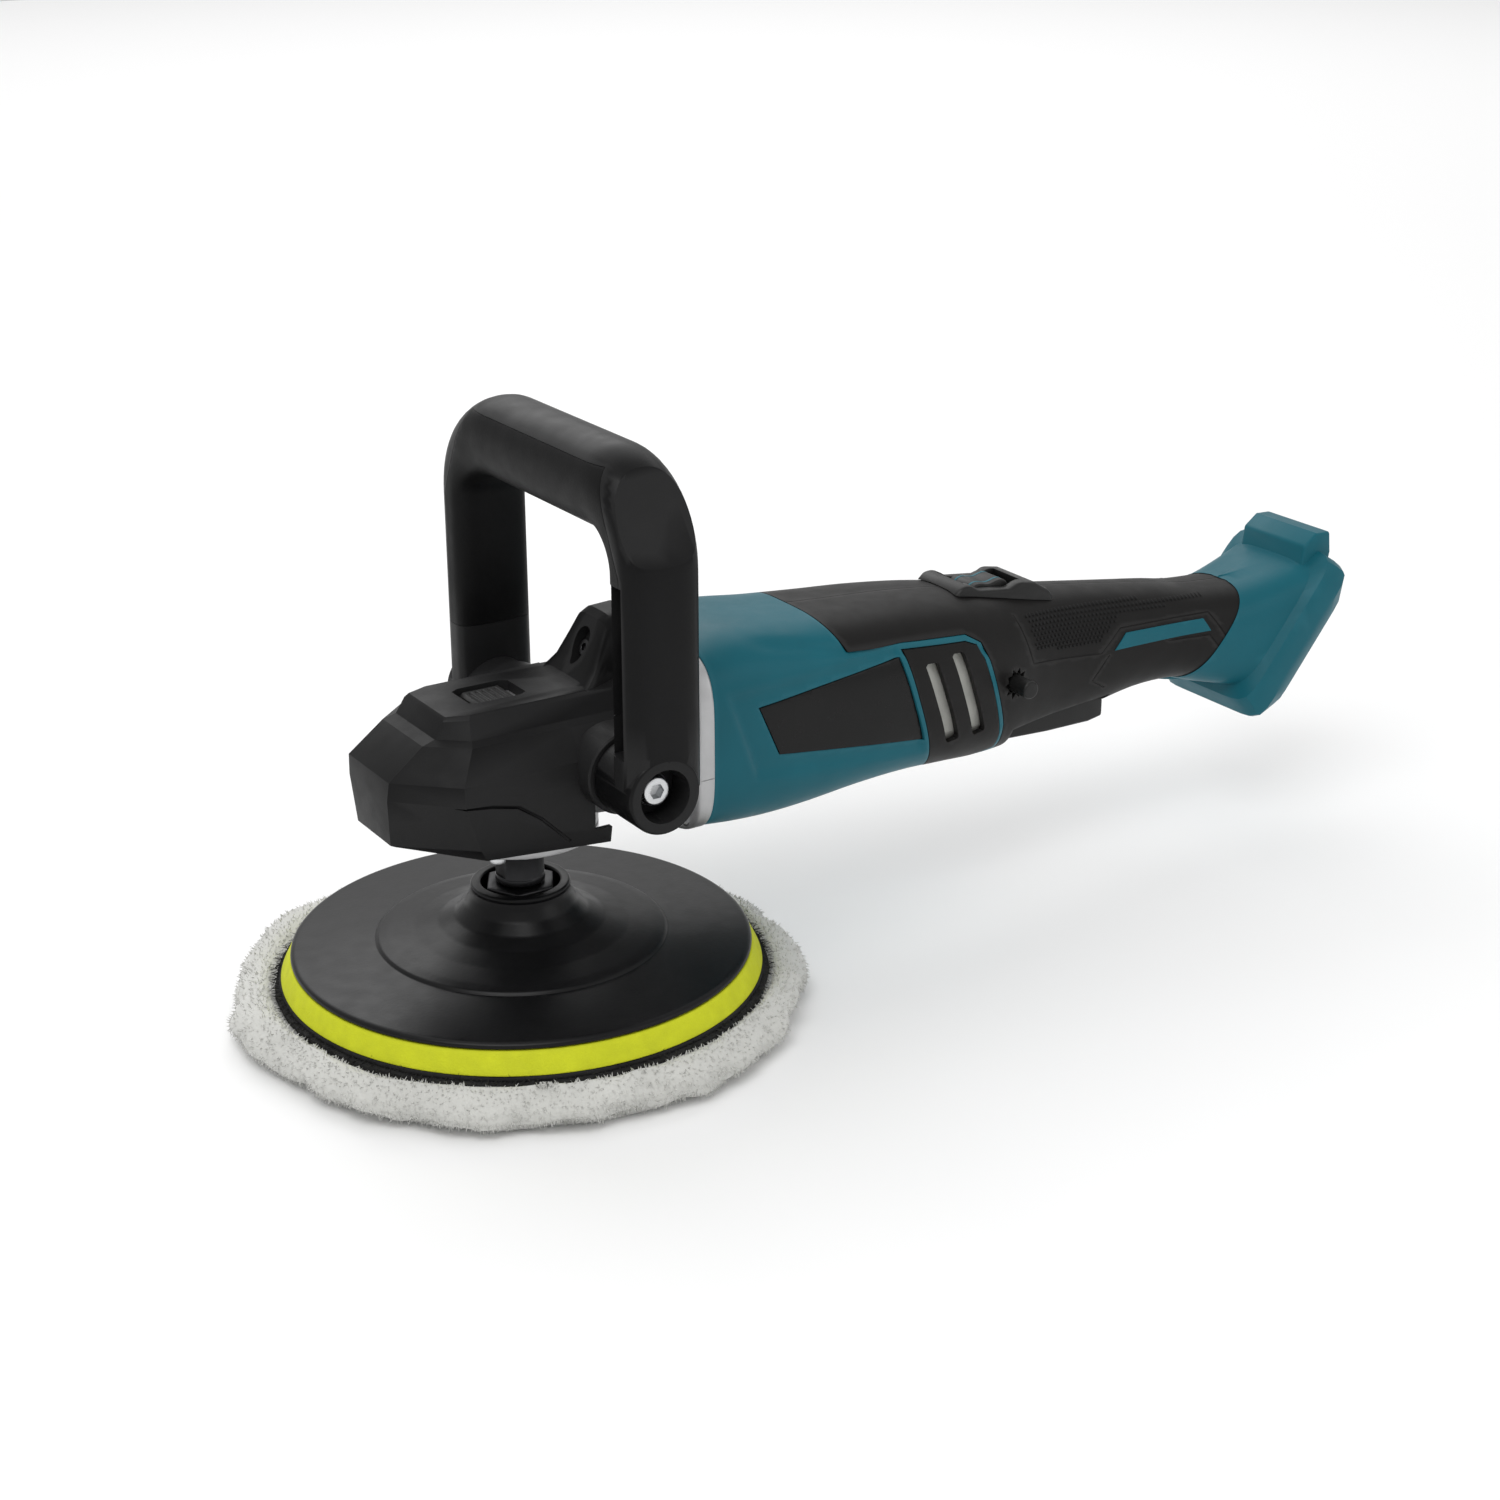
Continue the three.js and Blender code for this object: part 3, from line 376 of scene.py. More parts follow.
def grown(outline, amount):
    """A convex outline with every side moved out by the amount."""
    lines = []
    count = len(outline)
    area = sum(a[0] * b[1] - b[0] * a[1] for a, b in zip(outline, outline[1:] + outline[:1]))
    side = 1 if area > 0 else -1
    for i in range(count):
        a = Vector(outline[i])
        b = Vector(outline[(i + 1) % count])
        normal = Vector(((b - a).y, -(b - a).x)).normalized() * side
        lines.append((a + normal * amount, b - a))
    result = []
    for i in range(count):
        p, d = lines[i - 1]
        q, e = lines[i]
        cross = d.x * e.y - d.y * e.x
        t = ((q - p).x * e.y - (q - p).y * e.x) / cross
        point = p + d * t
        result.append((point.x, point.y))
    return result


def power_reach(angle, squareness):
    c = abs(math.cos(angle))
    s = abs(math.sin(angle))
    return (c ** squareness + s ** squareness) ** (-1 / squareness)


def smooth_step(low, high, value):
    t = min(1.0, max(0.0, (value - low) / (high - low)))
    return t * t * (3 - 2 * t)


def outline_distance(x, z, outline):
    """Distance from a point to an outline's border, positive inside."""
    best = 1e9
    inside = False
    for (ax, az), (bx, bz) in zip(outline, outline[1:] + outline[:1]):
        dx, dz = bx - ax, bz - az
        t = max(0.0, min(1.0, ((x - ax) * dx + (z - az) * dz) / (dx * dx + dz * dz)))
        best = min(best, math.hypot(x - ax - t * dx, z - az - t * dz))
        if (az > z) != (bz > z) and x < ax + (z - az) * dx / dz:
            inside = not inside
    return best if inside else -best


def stand_for(built, body, slot, *nodes):
    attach(built, body)
    if nodes:
        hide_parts(*nodes)
    return built


TOOL = bpy.data.materials.new("cutting_tool")

FLEECE = finish("fleece", (0.60, 0.60, 0.57), 0.95, mottle=0.05, mottle_scale=45,
                grain=0.8, grain_scale=500, sheen=0.4, specular=0.2)
BACKING_CLOTH = finish("backing_cloth", (0.012, 0.012, 0.012), 0.9, mottle=0.3, grain=0.4, grain_scale=1500)
FOAM = finish("foam", (0.56, 0.60, 0.014), 0.72, mottle=0.06, mottle_scale=160,
              grain=0.35, grain_scale=1400, specular=0.3)
PLATE_BLACK = finish("plate_black", (0.005, 0.005, 0.0055), 0.34, specular=0.2, mottle=0.15,
                     grain=0.05, grain_scale=700, wear=0.25)
STEEL = finish("machined_steel", (0.62, 0.63, 0.64), 0.3, metallic=1.0, mottle=0.06,
               grain=0.03, grain_scale=1600)
DARK_STEEL = finish("dark_steel", (0.035, 0.035, 0.037), 0.35, metallic=0.9, mottle=0.2,
                    grain=0.03, wear=0.2)
ALUMINIUM = finish("cast_aluminium", (0.47, 0.47, 0.475), 0.42, metallic=0.75, mottle=0.05,
                   mottle_scale=90, grain=0.12, grain_scale=1300)
BOOT_RUBBER = finish("boot_rubber", (0.005, 0.005, 0.0053), 0.45, specular=0.13, mottle=0.12,
                     grain=0.06, grain_scale=1700, wear=0.25)
GRIP_RUBBER = finish("grip_rubber", (0.005, 0.005, 0.0052), 0.5, specular=0.12, mottle=0.12,
                     grain=0.09, grain_scale=1500, wear=0.15)
HANDLE_BLACK = finish("handle_black", (0.003, 0.003, 0.0033), 0.38, specular=0.15, mottle=0.15,
                      grain=0.04, grain_scale=1500, wear=0.25)
TEAL = finish("teal_plastic", (0.007, 0.103, 0.137), 0.4, specular=0.16, mottle=0.04,
              grain=0.05, grain_scale=1800, wear=0.12)
SHELL_BLACK = finish("shell_black", (0.009, 0.0085, 0.0083), 0.46, specular=0.14, mottle=0.1,
                     grain=0.07, grain_scale=1800, wear=0.2)
BADGE = finish("badge_gloss", (0.004, 0.004, 0.004), 0.3, specular=0.2, mottle=0.1)
CONTROL = finish("control_black", (0.008, 0.008, 0.008), 0.42, specular=0.3, mottle=0.12,
                 grain=0.04, wear=0.25)
TERMINAL = finish("terminal_plate", (0.62, 0.45, 0.16), 0.3, metallic=1.0, mottle=0.08)
COPPER = finish("winding_copper", (0.5, 0.2, 0.07), 0.4, metallic=0.8, mottle=0.15)
BOARD = finish("circuit_board", (0.01, 0.09, 0.035), 0.5, mottle=0.2)
MESH_WIRE = finish("wire_mesh", (0.42, 0.42, 0.39), 0.5, metallic=0.3, mottle=0.15,
                   grain=0.3, grain_scale=2200)


# ------------------------ pad stack
SPINDLE_BODY = "spindle_assembly"
FLEECE_RADIUS = 118.0
FLEECE_TOP = 18.2
FLEECE_FLOOR = 0.2
FLEECE_SEGMENTS = 260
# The pad sits a little off centre, towards the angle below.
FLEECE_SHIFT = 5.5
FLEECE_SHIFT_ANGLE = math.radians(78)
FLEECE_PROFILE = [(20, 0.2), (60, 0.2), (90, 0.2), (98, 0.6), (103, 2.2), (106.2, 4.8), (107, 8),
                  (106, 11.4), (102.5, 14.6), (98.6, 16.4), (95.6, 16.2), (93.6, 13.6), (60, 13.6),
                  (20, 13.6)]
TUFT_RADIUS = 120
TUFT_TOP = 19
TUFTS_PER_FACE = 5
HOOK_FIBRES = 1500


def fleece_edge(angle, phase):
    """Uneven reach of the fleece round its edge, in millimetres."""
    spot = at_angle(angle, 2.8, phase * 0.5)
    fine = at_angle(angle, 9, phase + 4)
    shift = FLEECE_SHIFT * math.cos(angle - FLEECE_SHIFT_ANGLE)
    return shift - 1.2 + 4.6 * noise.noise(spot) + 2.6 * noise.noise(fine)


def make_fleece():
    rings = []
    last = len(FLEECE_PROFILE) - 1
    for angle in circle(FLEECE_SEGMENTS):
        ring = []
        for row, (r, z) in enumerate(FLEECE_PROFILE):
            edge = smooth_step(90, 105, r)
            reach = min(r + edge * fleece_edge(angle, row * 0.35), FLEECE_RADIUS)
            lump = at_angle(angle, 7, row * 0.8)
            height = z
            if 0 < row < last:
                height = min(FLEECE_TOP, max(FLEECE_FLOOR, z + edge * 2.2 * noise.noise(lump)))
            ring.append(at_angle(angle, reach, height))
        rings.append(ring)
    return piece("fleece_pad", *disc_mesh(rings), FLEECE, sharp=180)


def strand(points, start, direction, length, width, droop):
    """Adds one tapered three-sided tuft of fibre, bending down as it goes."""
    faces = []
    first = len(points)
    side = direction.cross(Vector((0, 0, 1)))
    if side.length < 0.01:
        side = Vector((1, 0, 0))
    side.normalize()
    up = side.cross(direction).normalized()
    stations = 3
    for step in range(stations):
        t = step / stations
        centre = start + direction * length * t + Vector((0, 0, -droop * t * t))
        size = width * (1 - 0.75 * t)
        for corner in range(3):
            turn = 2 * math.pi * corner / 3
            points.append(centre + side * size * math.cos(turn) + up * size * math.sin(turn))
    points.append(start + direction * length + Vector((0, 0, -droop)))
    tip = len(points) - 1
    for step in range(stations - 1):
        for corner in range(3):
            k = (corner + 1) % 3
            a = first + step * 3
            faces.append((a + corner, a + k, a + 3 + k, a + 3 + corner))
    last = first + (stations - 1) * 3
    for corner in range(3):
        faces.append((last + corner, last + (corner + 1) % 3, tip))
    faces.append((first + 2, first + 1, first))
    return faces


def make_fleece_tufts(pad):
    """Short locks of wool standing out of the pad's rim."""
    draw = random.Random(SEED)
    points = []
    faces = []
    mesh = pad.data
    for face in mesh.polygons:
        radius = math.hypot(face.center.x, face.center.y) / MM
        on_flat_top = face.normal.z > 0.93 and radius < 94
        if radius < 92 or on_flat_top or len(face.vertices) > 4:
            continue
        corners = [mesh.vertices[v].co / MM for v in face.vertices]
        for _ in range(TUFTS_PER_FACE):
            a = draw.random()
            b = draw.random()
            near = corners[0].lerp(corners[1], a)
            far = corners[3].lerp(corners[2], a)
            start = near.lerp(far, b) - face.normal * 0.6
            lean = Vector((draw.gauss(0, 0.45), draw.gauss(0, 0.45), draw.gauss(-0.1, 0.35)))
            direction = (face.normal + lean).normalized()
            length = draw.uniform(1.3, 2.8)
            end = start + direction * length
            droop = draw.uniform(0, 0.5)
            too_low = end.z - droop < 0.3 or start.z < 0.6
            if too_low or end.z > TUFT_TOP or math.hypot(end.x, end.y) > TUFT_RADIUS:
                continue
            faces += strand(points, start, direction, length, draw.uniform(0.2, 0.42), droop)
    return piece("fleece_tufts", points, faces, FLEECE, sharp=180)


def make_hook_fringe():
    """Loose black hook and loop fibres where the pad grips the plate."""
    draw = random.Random(SEED + 1)
    points = []
    faces = []
    for i in range(HOOK_FIBRES):
        angle = 2 * math.pi * i / HOOK_FIBRES + draw.uniform(-0.003, 0.003)
        out = Vector((math.cos(angle), math.sin(angle), 0))
        start = out * draw.uniform(89.5, 92.2) + Vector((0, 0, draw.uniform(15.6, 17.8)))
        lean = Vector((draw.gauss(0, 0.5), draw.gauss(0, 0.5), draw.gauss(0.05, 0.5)))
        length = draw.uniform(1.6, 4.4)
        faces += strand(points, start, (out + lean).normalized(), length, 0.17, draw.uniform(0, 0.5))
    return piece("hook_fringe", points, faces, BACKING_CLOTH, sharp=60)


def wavy_disc(name, radius, low, high, material, sway, phase):
    """A thin flexible disc whose rim wanders a little in and out and up and down."""
    segments = 240
    middle = (low + high) / 2
    rings = []
    for angle in circle(segments):
        wave = noise.noise(at_angle(angle, 5, phase))
        fine = noise.noise(at_angle(angle, 22, phase))
        reach = radius + sway * (wave + 0.6 * fine)
        drop = 0.35 * wave
        ring = [(30, low), (reach - 4, low), (reach - 0.3, low + drop), (reach, middle + drop),
                (reach - 0.3, high + drop), (reach - 4, high), (30, high)]
        rings.append([at_angle(angle, r, z) for r, z in ring])
    return piece(name, *disc_mesh(rings), material, sharp=60)


def make_pad_stack():
    pad = make_fleece()
    stand_for(pad, SPINDLE_BODY, "fleece", "wool_pad")
    stand_for(make_fleece_tufts(pad), SPINDLE_BODY, "fleece")
    backing = wavy_disc("pad_backing", 92.4, 14.2, 16.3, BACKING_CLOTH, 0.8, 3.1)
    stand_for(backing, SPINDLE_BODY, "pad_backing", "wool_pad_backing")
    hooks = wavy_disc("hook_disc", 90.4, 16.5, 18.1, BACKING_CLOTH, 0.5, 7.7)
    stand_for(hooks, SPINDLE_BODY, "hook", "hook_layer")
    stand_for(make_hook_fringe(), SPINDLE_BODY, "hook")
    side = [(0, 18.3), (90.1, 18.3), (89.6, 19.6), (86.7, 25.4), (86.0, 26.1), (0, 26.1)]
    foam = turned("foam_ring", softened(side, 0.8), FOAM, segments=200)
    stand_for(foam, SPINDLE_BODY, "foam", "foam_layer")
    make_backing_plate()
    make_spindle()


def make_backing_plate():
    outer = [(0, 26.4), (85.4, 26.4), (86.0, 26.9), (85.8, 28.0), (84.6, 28.8), (83.2, 28.95), (70, 29.9),
             (55.2, 30.9), (54.5, 30.95), (54.1, 31.5), (53.4, 32.1), (52.6, 32.3), (50, 32.9), (40, 34.4),
             (31, 36.6), (25, 39.6), (21, 43.6), (18.8, 47.6), (18.2, 49.6), (18.6, 50.2), (18.6, 51.2),
             (18.0, 51.8), (15.2, 51.9), (14.7, 51.4), (14.7, 40), (14.4, 39.4), (0, 39.4)]
    plate = turned("backing_plate_skin", softened(outer, 0.9, 3), PLATE_BLACK, segments=200)
    stand_for(plate, SPINDLE_BODY, "plate_black", "backing_plate")


def make_spindle():
    profile = [(0, 39.2), (6.6, 39.2), (6.9, 39.8), (6.9, 52.2), (9.0, 52.2), (9.3, 52.6), (9.3, 54.6),
               (9.0, 54.9), (9.0, 63.4), (9.2, 63.8), (9.2, 72), (9.0, 75.6), (7.5, 75.7), (7.5, 113.9),
               (4, 113.9), (4, 117.5), (0, 117.5)]
    shaft = turned("spindle_skin", softened(profile, 0.3, 2), DARK_STEEL, segments=64)
    cut(shaft, block("flat", 8.1, 20, -20, 20, 55.2, 63.2), block("flat", -20, -8.1, -20, 20, 55.2, 63.2))
    stand_for(rounded(shaft, 0.15, 1), SPINDLE_BODY, "dark_steel", "spindle")
    hexagon = [(7.2, 51.2), (7.5, 51.7), (13.4, 51.7), (14.1, 51.0), (14.1, 38.4), (7.2, 38.4)]
    nut = turned("insert_nut_skin", softened(hexagon, 0.3, 1), DARK_STEEL, segments=6)
    stand_for(nut, SPINDLE_BODY, "steel", "plate_insert_nut")


# ------------------------ body surface
# Body sections along X: x, lowest z, highest z, half width, squareness.
BODY_ROWS = [
    (61.3, 66.6, 138.8, 38.5, 4.2), (76, 64.5, 141, 39, 3.8), (92, 63.2, 140.9, 38.8, 3.5),
    (110, 63.2, 139.1, 38, 3.3), (135, 64.6, 137.2, 37, 3.1), (158, 64.8, 135.7, 35.5, 3),
    (180, 63.3, 133.5, 33.4, 2.9), (197, 61.8, 131, 31.2, 2.8), (210, 61.5, 128.6, 29, 2.7),
    (224, 62.5, 126.3, 25.5, 2.6), (240, 64.5, 123.8, 22.5, 2.6), (262, 67.5, 120.5, 20.6, 2.6),
    (286, 71.5, 116.8, 20, 2.6), (304, 72, 114, 20.2, 2.6), (322, 70.5, 110.6, 21.5, 2.7),
    (356, 69, 108, 23.5, 2.8),
]
WALL = 2.6
SIDES = (("left", -1), ("right", 1))

HOUSING_EDGE = [(104, 152), (108, 147.3), (113.2, 144), (117.8, 138.2), (121.1, 132), (123.8, 126.6),
                (136, 125.4), (149.7, 125.1), (182.5, 121.5), (190, 117), (194, 109), (197.9, 98),
                (203.6, 79.4), (207, 55)]
VENT = [(149.8, 122.5), (181.6, 119.2), (187.5, 116.6), (190.9, 110.6), (195.5, 98.1), (202.3, 76),
        (203.4, 68), (176, 60), (167.5, 70)]
BADGE_OUTLINE = [(81.7, 114.4), (148.1, 120), (160.4, 84.1), (90.7, 94.4)]
FRAME_OUTLINE = [(65.4, 123.5), (148.5, 125.5), (163.5, 77.5), (78.7, 86.2)]
FRAME_DEPTH = 1.7
FRAME_SLOPE = 3.6
CREASE_DEPTH = 0.9
CREASE_HALF = 3.2
SLOT_PITCH = 14


def body_row(x):
    """The body's section at x: lowest z, highest z, half width, squareness."""
    rows = BODY_ROWS
    x = min(max(x, rows[0][0]), rows[-1][0])
    i = max(k for k in range(len(rows) - 1) if rows[k][0] <= x)
    before, a, b, after = rows[max(0, i - 1)], rows[i], rows[i + 1], rows[min(len(rows) - 1, i + 2)]
    span = b[0] - a[0]
    t = (x - a[0]) / span
    values = []
    for k in range(1, 5):
        leave = (b[k] - before[k]) / (b[0] - before[0]) * span
        arrive = (after[k] - a[k]) / (after[0] - a[0]) * span
        values.append((2 * t ** 3 - 3 * t ** 2 + 1) * a[k] + (t ** 3 - 2 * t ** 2 + t) * leave
                      + (3 * t ** 2 - 2 * t ** 3) * b[k] + (t ** 3 - t ** 2) * arrive)
    return values


def section_ring(x, low, high, half, squareness, inset=0.0, count=72):
    ring = []
    for angle in circle(count):
        reach = power_reach(angle, squareness)
        ring.append((x, (half - inset) * reach * math.cos(angle),
                     (low + high) / 2 + ((high - low) / 2 - inset) * reach * math.sin(angle)))
    return ring


def body_y(x, z, out=0.0):
    """Half width of the body surface at a height."""
    low, high, half, squareness = body_row(x)
    s = min(1.0, abs(z - (low + high) / 2) / ((high - low) / 2 + out))
    return (half + out) * (1 - s ** squareness) ** (1 / squareness)


def body_skin(name, start, end, step, inset, material, relief=None, count=144):
    """A solid of the body's shape between two stations, with an optional relief pressed into it."""
    rings = []
    stations = max(2, round((end - start) / step))
    for i in range(stations + 1):
        x = start + (end - start) * i / stations
        low, high, half, squareness = body_row(x)
        ring = section_ring(x, low, high, half, squareness, inset, count)
        if relief:
            middle = (low + high) / 2
            pressed = []
            for px, y, z in ring:
                inward = Vector((y / half ** 2, (z - middle) / ((high - low) / 2) ** 2)).normalized()
                depth = relief(px, y, z)
                pressed.append((px, y - inward.x * depth, z - inward.y * depth))
            ring = pressed
        rings.append(ring)
    return loft(name, rings, material, sharp=30)


def body_room(inset=WALL):
    return body_skin("room", 50, 365, 5, inset, TOOL, count=72)


def tube(name, path, radius, material=None, sides=8):
    """A round bead along a path of points."""
    rings = []
    for i, place in enumerate(path):
        ahead = Vector(path[min(len(path) - 1, i + 1)]) - Vector(path[max(0, i - 1)])
        across = ahead.cross(Vector((0.31, 0.87, 0.38))).normalized()
        up = across.cross(ahead).normalized()
        rings.append([Vector(place) + across * radius * math.cos(2 * math.pi * j / sides)
                      + up * radius * math.sin(2 * math.pi * j / sides) for j in range(sides)])
    return loft(name, rings, material or TOOL)


def surface_path(outline, sign, out=0.0, step=2.0):
    """Points on the body's side along a line of (x, z) points."""
    path = []
    for (ax, az), (bx, bz) in zip(outline, outline[1:]):
        pieces = max(1, round(math.hypot(bx - ax, bz - az) / step))
        for i in range(pieces):
            x, z = ax + (bx - ax) * i / pieces, az + (bz - az) * i / pieces
            path.append((x, sign * body_y(x, z, out), z))
    x, z = outline[-1]
    path.append((x, sign * body_y(x, z, out), z))
    return path


def aimed(thing, place, direction):
    """Turns a mesh built about +Z to a direction and moves it to a place."""
    turn = Vector(direction).to_track_quat("Z", "Y").to_matrix().to_4x4()
    thing.data.transform(Matrix.Translation(Vector(place) * MM) @ turn)
    return thing


def socket_screw(name, radius, height, place, direction, material=None):
    """A cap screw head with a hexagon socket; its seat is at place."""
    head = turned(name, softened([(0, 0), (radius, 0), (radius, height), (0, height)], 0.5, 3),
                  material or STEEL, segments=40)
    socket_tool = rod("socket", radius * 0.5, height * 0.35, height + 1, segments=6)
    cut(head, socket_tool)
    return aimed(rounded(head, 0.12, 1), place, direction)


# ------------------------ motor housing
def housing_relief(x, y, z):
    """The sloping frame round the nameplate and the soft crease above it."""
    frame_in = smooth_step(0, FRAME_SLOPE, outline_distance(x, z, FRAME_OUTLINE)) * FRAME_DEPTH
    crease_z = 136 - (x - 84.8) * 0.206
    if z >= crease_z + 3:
        return frame_in
    fade = smooth_step(78, 92, x)
    return frame_in + CREASE_DEPTH * (1 - smooth_step(0, CREASE_HALF, abs(z - crease_z))) * fade


def make_motor_housing():
    housing = body_skin("motor_housing_skin", 61.3, 212, 1.3, 0, TEAL, housing_relief)
    cut(housing, body_room())
    keep(housing, prism("front", [(50, 50), (50, 160), *HOUSING_EDGE], -60, 60))
    for _, sign in SIDES:
        pocket = prism("badge_pocket", grown(BADGE_OUTLINE, 0.25), sign * 25, sign * 60)
        cut(pocket, body_skin("floor", 60, 180, 3, 2.4, TOOL, count=96))
        cut(housing, prism("vent_hole", grown(VENT, 0.35), sign * 15, sign * 60), pocket)
    stand_for(rounded(housing, 0.35, 2, angle=50), "body", "teal", "motor_housing")


def make_side_panels():
    for side, sign in SIDES:
        plate = body_skin(f"nameplate_{side}_skin", 74, 168, 2, 1.3, BADGE)
        keep(plate, prism("badge", BADGE_OUTLINE, sign * 25, sign * 60))
        cut(plate, body_skin("floor", 60, 180, 3, 2.2, TOOL, count=96))
        stand_for(rounded(plate, 0.2, 2, angle=50), "body", "badge", f"nameplate_{side}")
        panel = body_skin(f"vent_panel_{side}_skin", 140, 210, 2, -0.1, SHELL_BLACK)
        keep(panel, prism("vent", VENT, sign * 15, sign * 60))
        cut(panel, body_room())
        for i in range(2):
            dx = SLOT_PITCH * i
            slot = [(159.8 + dx, 114.2 + i), (160.8 + dx, 115.2 + i), (165.4 + dx, 114.9 + i),
                    (166.4 + dx, 113.8 + i), (178.6 + dx, 81.2), (178.2 + dx, 79.9), (173.4 + dx, 79.4),
                    (172.2 + dx, 80.4)]
            cut(panel, prism("slot", slot, sign * 10, sign * 60))
        stand_for(rounded(panel, 0.6, 3, angle=50), "body", "shell_black", f"vent_panel_{side}")


# ------------------------ grip shells
def mount_point(across, along, back):
    """A point in the directions of the slanted battery face."""
    up = MOUNT_UP
    return (MOUNT_LOW[0] + up.x * along + up.y * back, across, MOUNT_LOW[1] + up.y * along - up.x * back)


MOUNT_LOW = (355.7, 54.6)
MOUNT_HIGH = (392.2, 100.6)
MOUNT_UP = Vector((MOUNT_HIGH[0] - MOUNT_LOW[0], MOUNT_HIGH[1] - MOUNT_LOW[1])).normalized()


def mount_block(name, half, low, high, start, end, material=None):
    corners = [(-half, low), (half, low), (half, high), (-half, high)]
    rings = [[mount_point(a, b, back) for a, b in corners] for back in (start, end)]
    return loft(name, rings, material or TOOL)


TEXTURE = [(218.5, 120.7), (221.7, 104.8), (258.7, 99.6), (272.5, 109.2), (320.2, 107.2), (324.2, 111.3),
           (300, 113), (231.8, 121.5)]
TEXTURE_LINE = [(212.7, 121.9), (220, 101.4), (260.6, 96.1), (271.1, 104.9), (319.7, 103), (329.9, 89.4)]
LABEL = [(273.9, 102.4), (316.2, 100.9), (320, 95.2), (267.8, 96)]
LOWER_LINES = [[(265, 94.5), (256.2, 84.8), (264.2, 80.1)], [(297.1, 94.6), (319.6, 93.4), (325.7, 86.3)]]
STUD_PITCH = 2.2
STUD_RADIUS = 0.8
BUTTON_PLACE = (209, 0, 96)
STAR_RADII = (6.6, 4.3)
SHELL_SCREWS = ((232, 112), (300, 108), (318, 76))


def star_outline():
    """The ten-pointed recess round the lock-on button."""
    x, _, z = BUTTON_PLACE
    star = []
    for i in range(20):
        reach = STAR_RADII[i % 2]
        turn = 2 * math.pi * i / 20
        star.append((x + reach * math.cos(turn), z + reach * math.sin(turn)))
    return star


def make_handle_shells():
    for side, sign in SIDES:
        shell = body_skin(f"handle_shell_{side}_skin", 100, 350, 2, 0, SHELL_BLACK)
        cut(shell, body_room())
        keep(shell, prism("rear", [(x + 0.3, z + 0.3) for x, z in HOUSING_EDGE] + [(400, 50), (400, 160)],
                          sign * 0.15, sign * 60))
        cut(shell, block("trigger_room", 211.4, 271, -40, 40, 40, 74.5),
            block("lever_room", 246, 270.9, -13.7, 13.7, 40, 81),
            block("dial_room", 194, 228, -8.6, 8.6, 100, 160),
            mount_block("mount_room", 60, -80, 160, -11.7, 60))
        for line in (TEXTURE_LINE, *LOWER_LINES):
            cut(shell, tube("line", surface_path(line, sign, 0.15), 0.42))
        if sign < 0:
            recess = prism("recess", star_outline(), -60, -20)
            cut(recess, body_skin("floor", 180, 240, 3, 1.4, TOOL, count=72))
            cut(shell, recess, rod("button_hole", 4.1, -60, -10, "Y", BUTTON_PLACE, 32))
        else:
            for x, z in SHELL_SCREWS:
                cut(shell, rod("screw_well", 2.9, 4, 60, "Y", (x, 0, z), 24))
        stand_for(rounded(shell, 0.3, 2, angle=55), "body", "shell_black", f"handle_shell_{side}")
        stand_for(make_studs(side, sign), "body", "shell_black")
        label = body_skin(f"grip_label_{side}", 260, 326, 2, -0.35, TEAL)
        keep(label, prism("label", LABEL, sign * 10, sign * 60))
        cut(label, body_skin("floor", 240, 340, 4, 0.1, TOOL, count=72))
        stand_for(rounded(label, 0.15, 2, angle=50), "body", "teal")


def make_studs(side, sign):
    """Staggered rows of small flat-topped studs over the soft area of the grip."""
    points = []
    faces = []
    row = 0
    z = 99.0
    while z < 122:
        x = 217.0 + (row % 2) * STUD_PITCH / 2
        while x < 326:
            tilt = z - 0.09 * (x - 270)
            if outline_distance(x, tilt, TEXTURE) > 1.0:
                first = len(points)
                for out, radius in ((-0.3, STUD_RADIUS * 1.1), (0.5, STUD_RADIUS * 0.7)):
                    for corner in range(6):
                        turn = math.pi * corner / 3
                        px = x + radius * math.cos(turn)
                        pz = tilt + radius * math.sin(turn)
                        points.append((px, sign * (body_y(px, pz) + out), pz))
                faces += [tuple(first + 6 + k for k in range(6)), tuple(first + 5 - k for k in range(6))]
                for k in range(6):
                    m = (k + 1) % 6
                    faces.append((first + k, first + m, first + 6 + m, first + 6 + k))
            x += STUD_PITCH
        row += 1
        z += STUD_PITCH * 0.82
    return piece(f"grip_studs_{side}", points, faces, GRIP_RUBBER, sharp=60)


# ------------------------ controls
DIAL_PLACE = (211, 0, 118.8)
DIAL_RADIUS = 13.8
DIAL_WAVE = 1.2


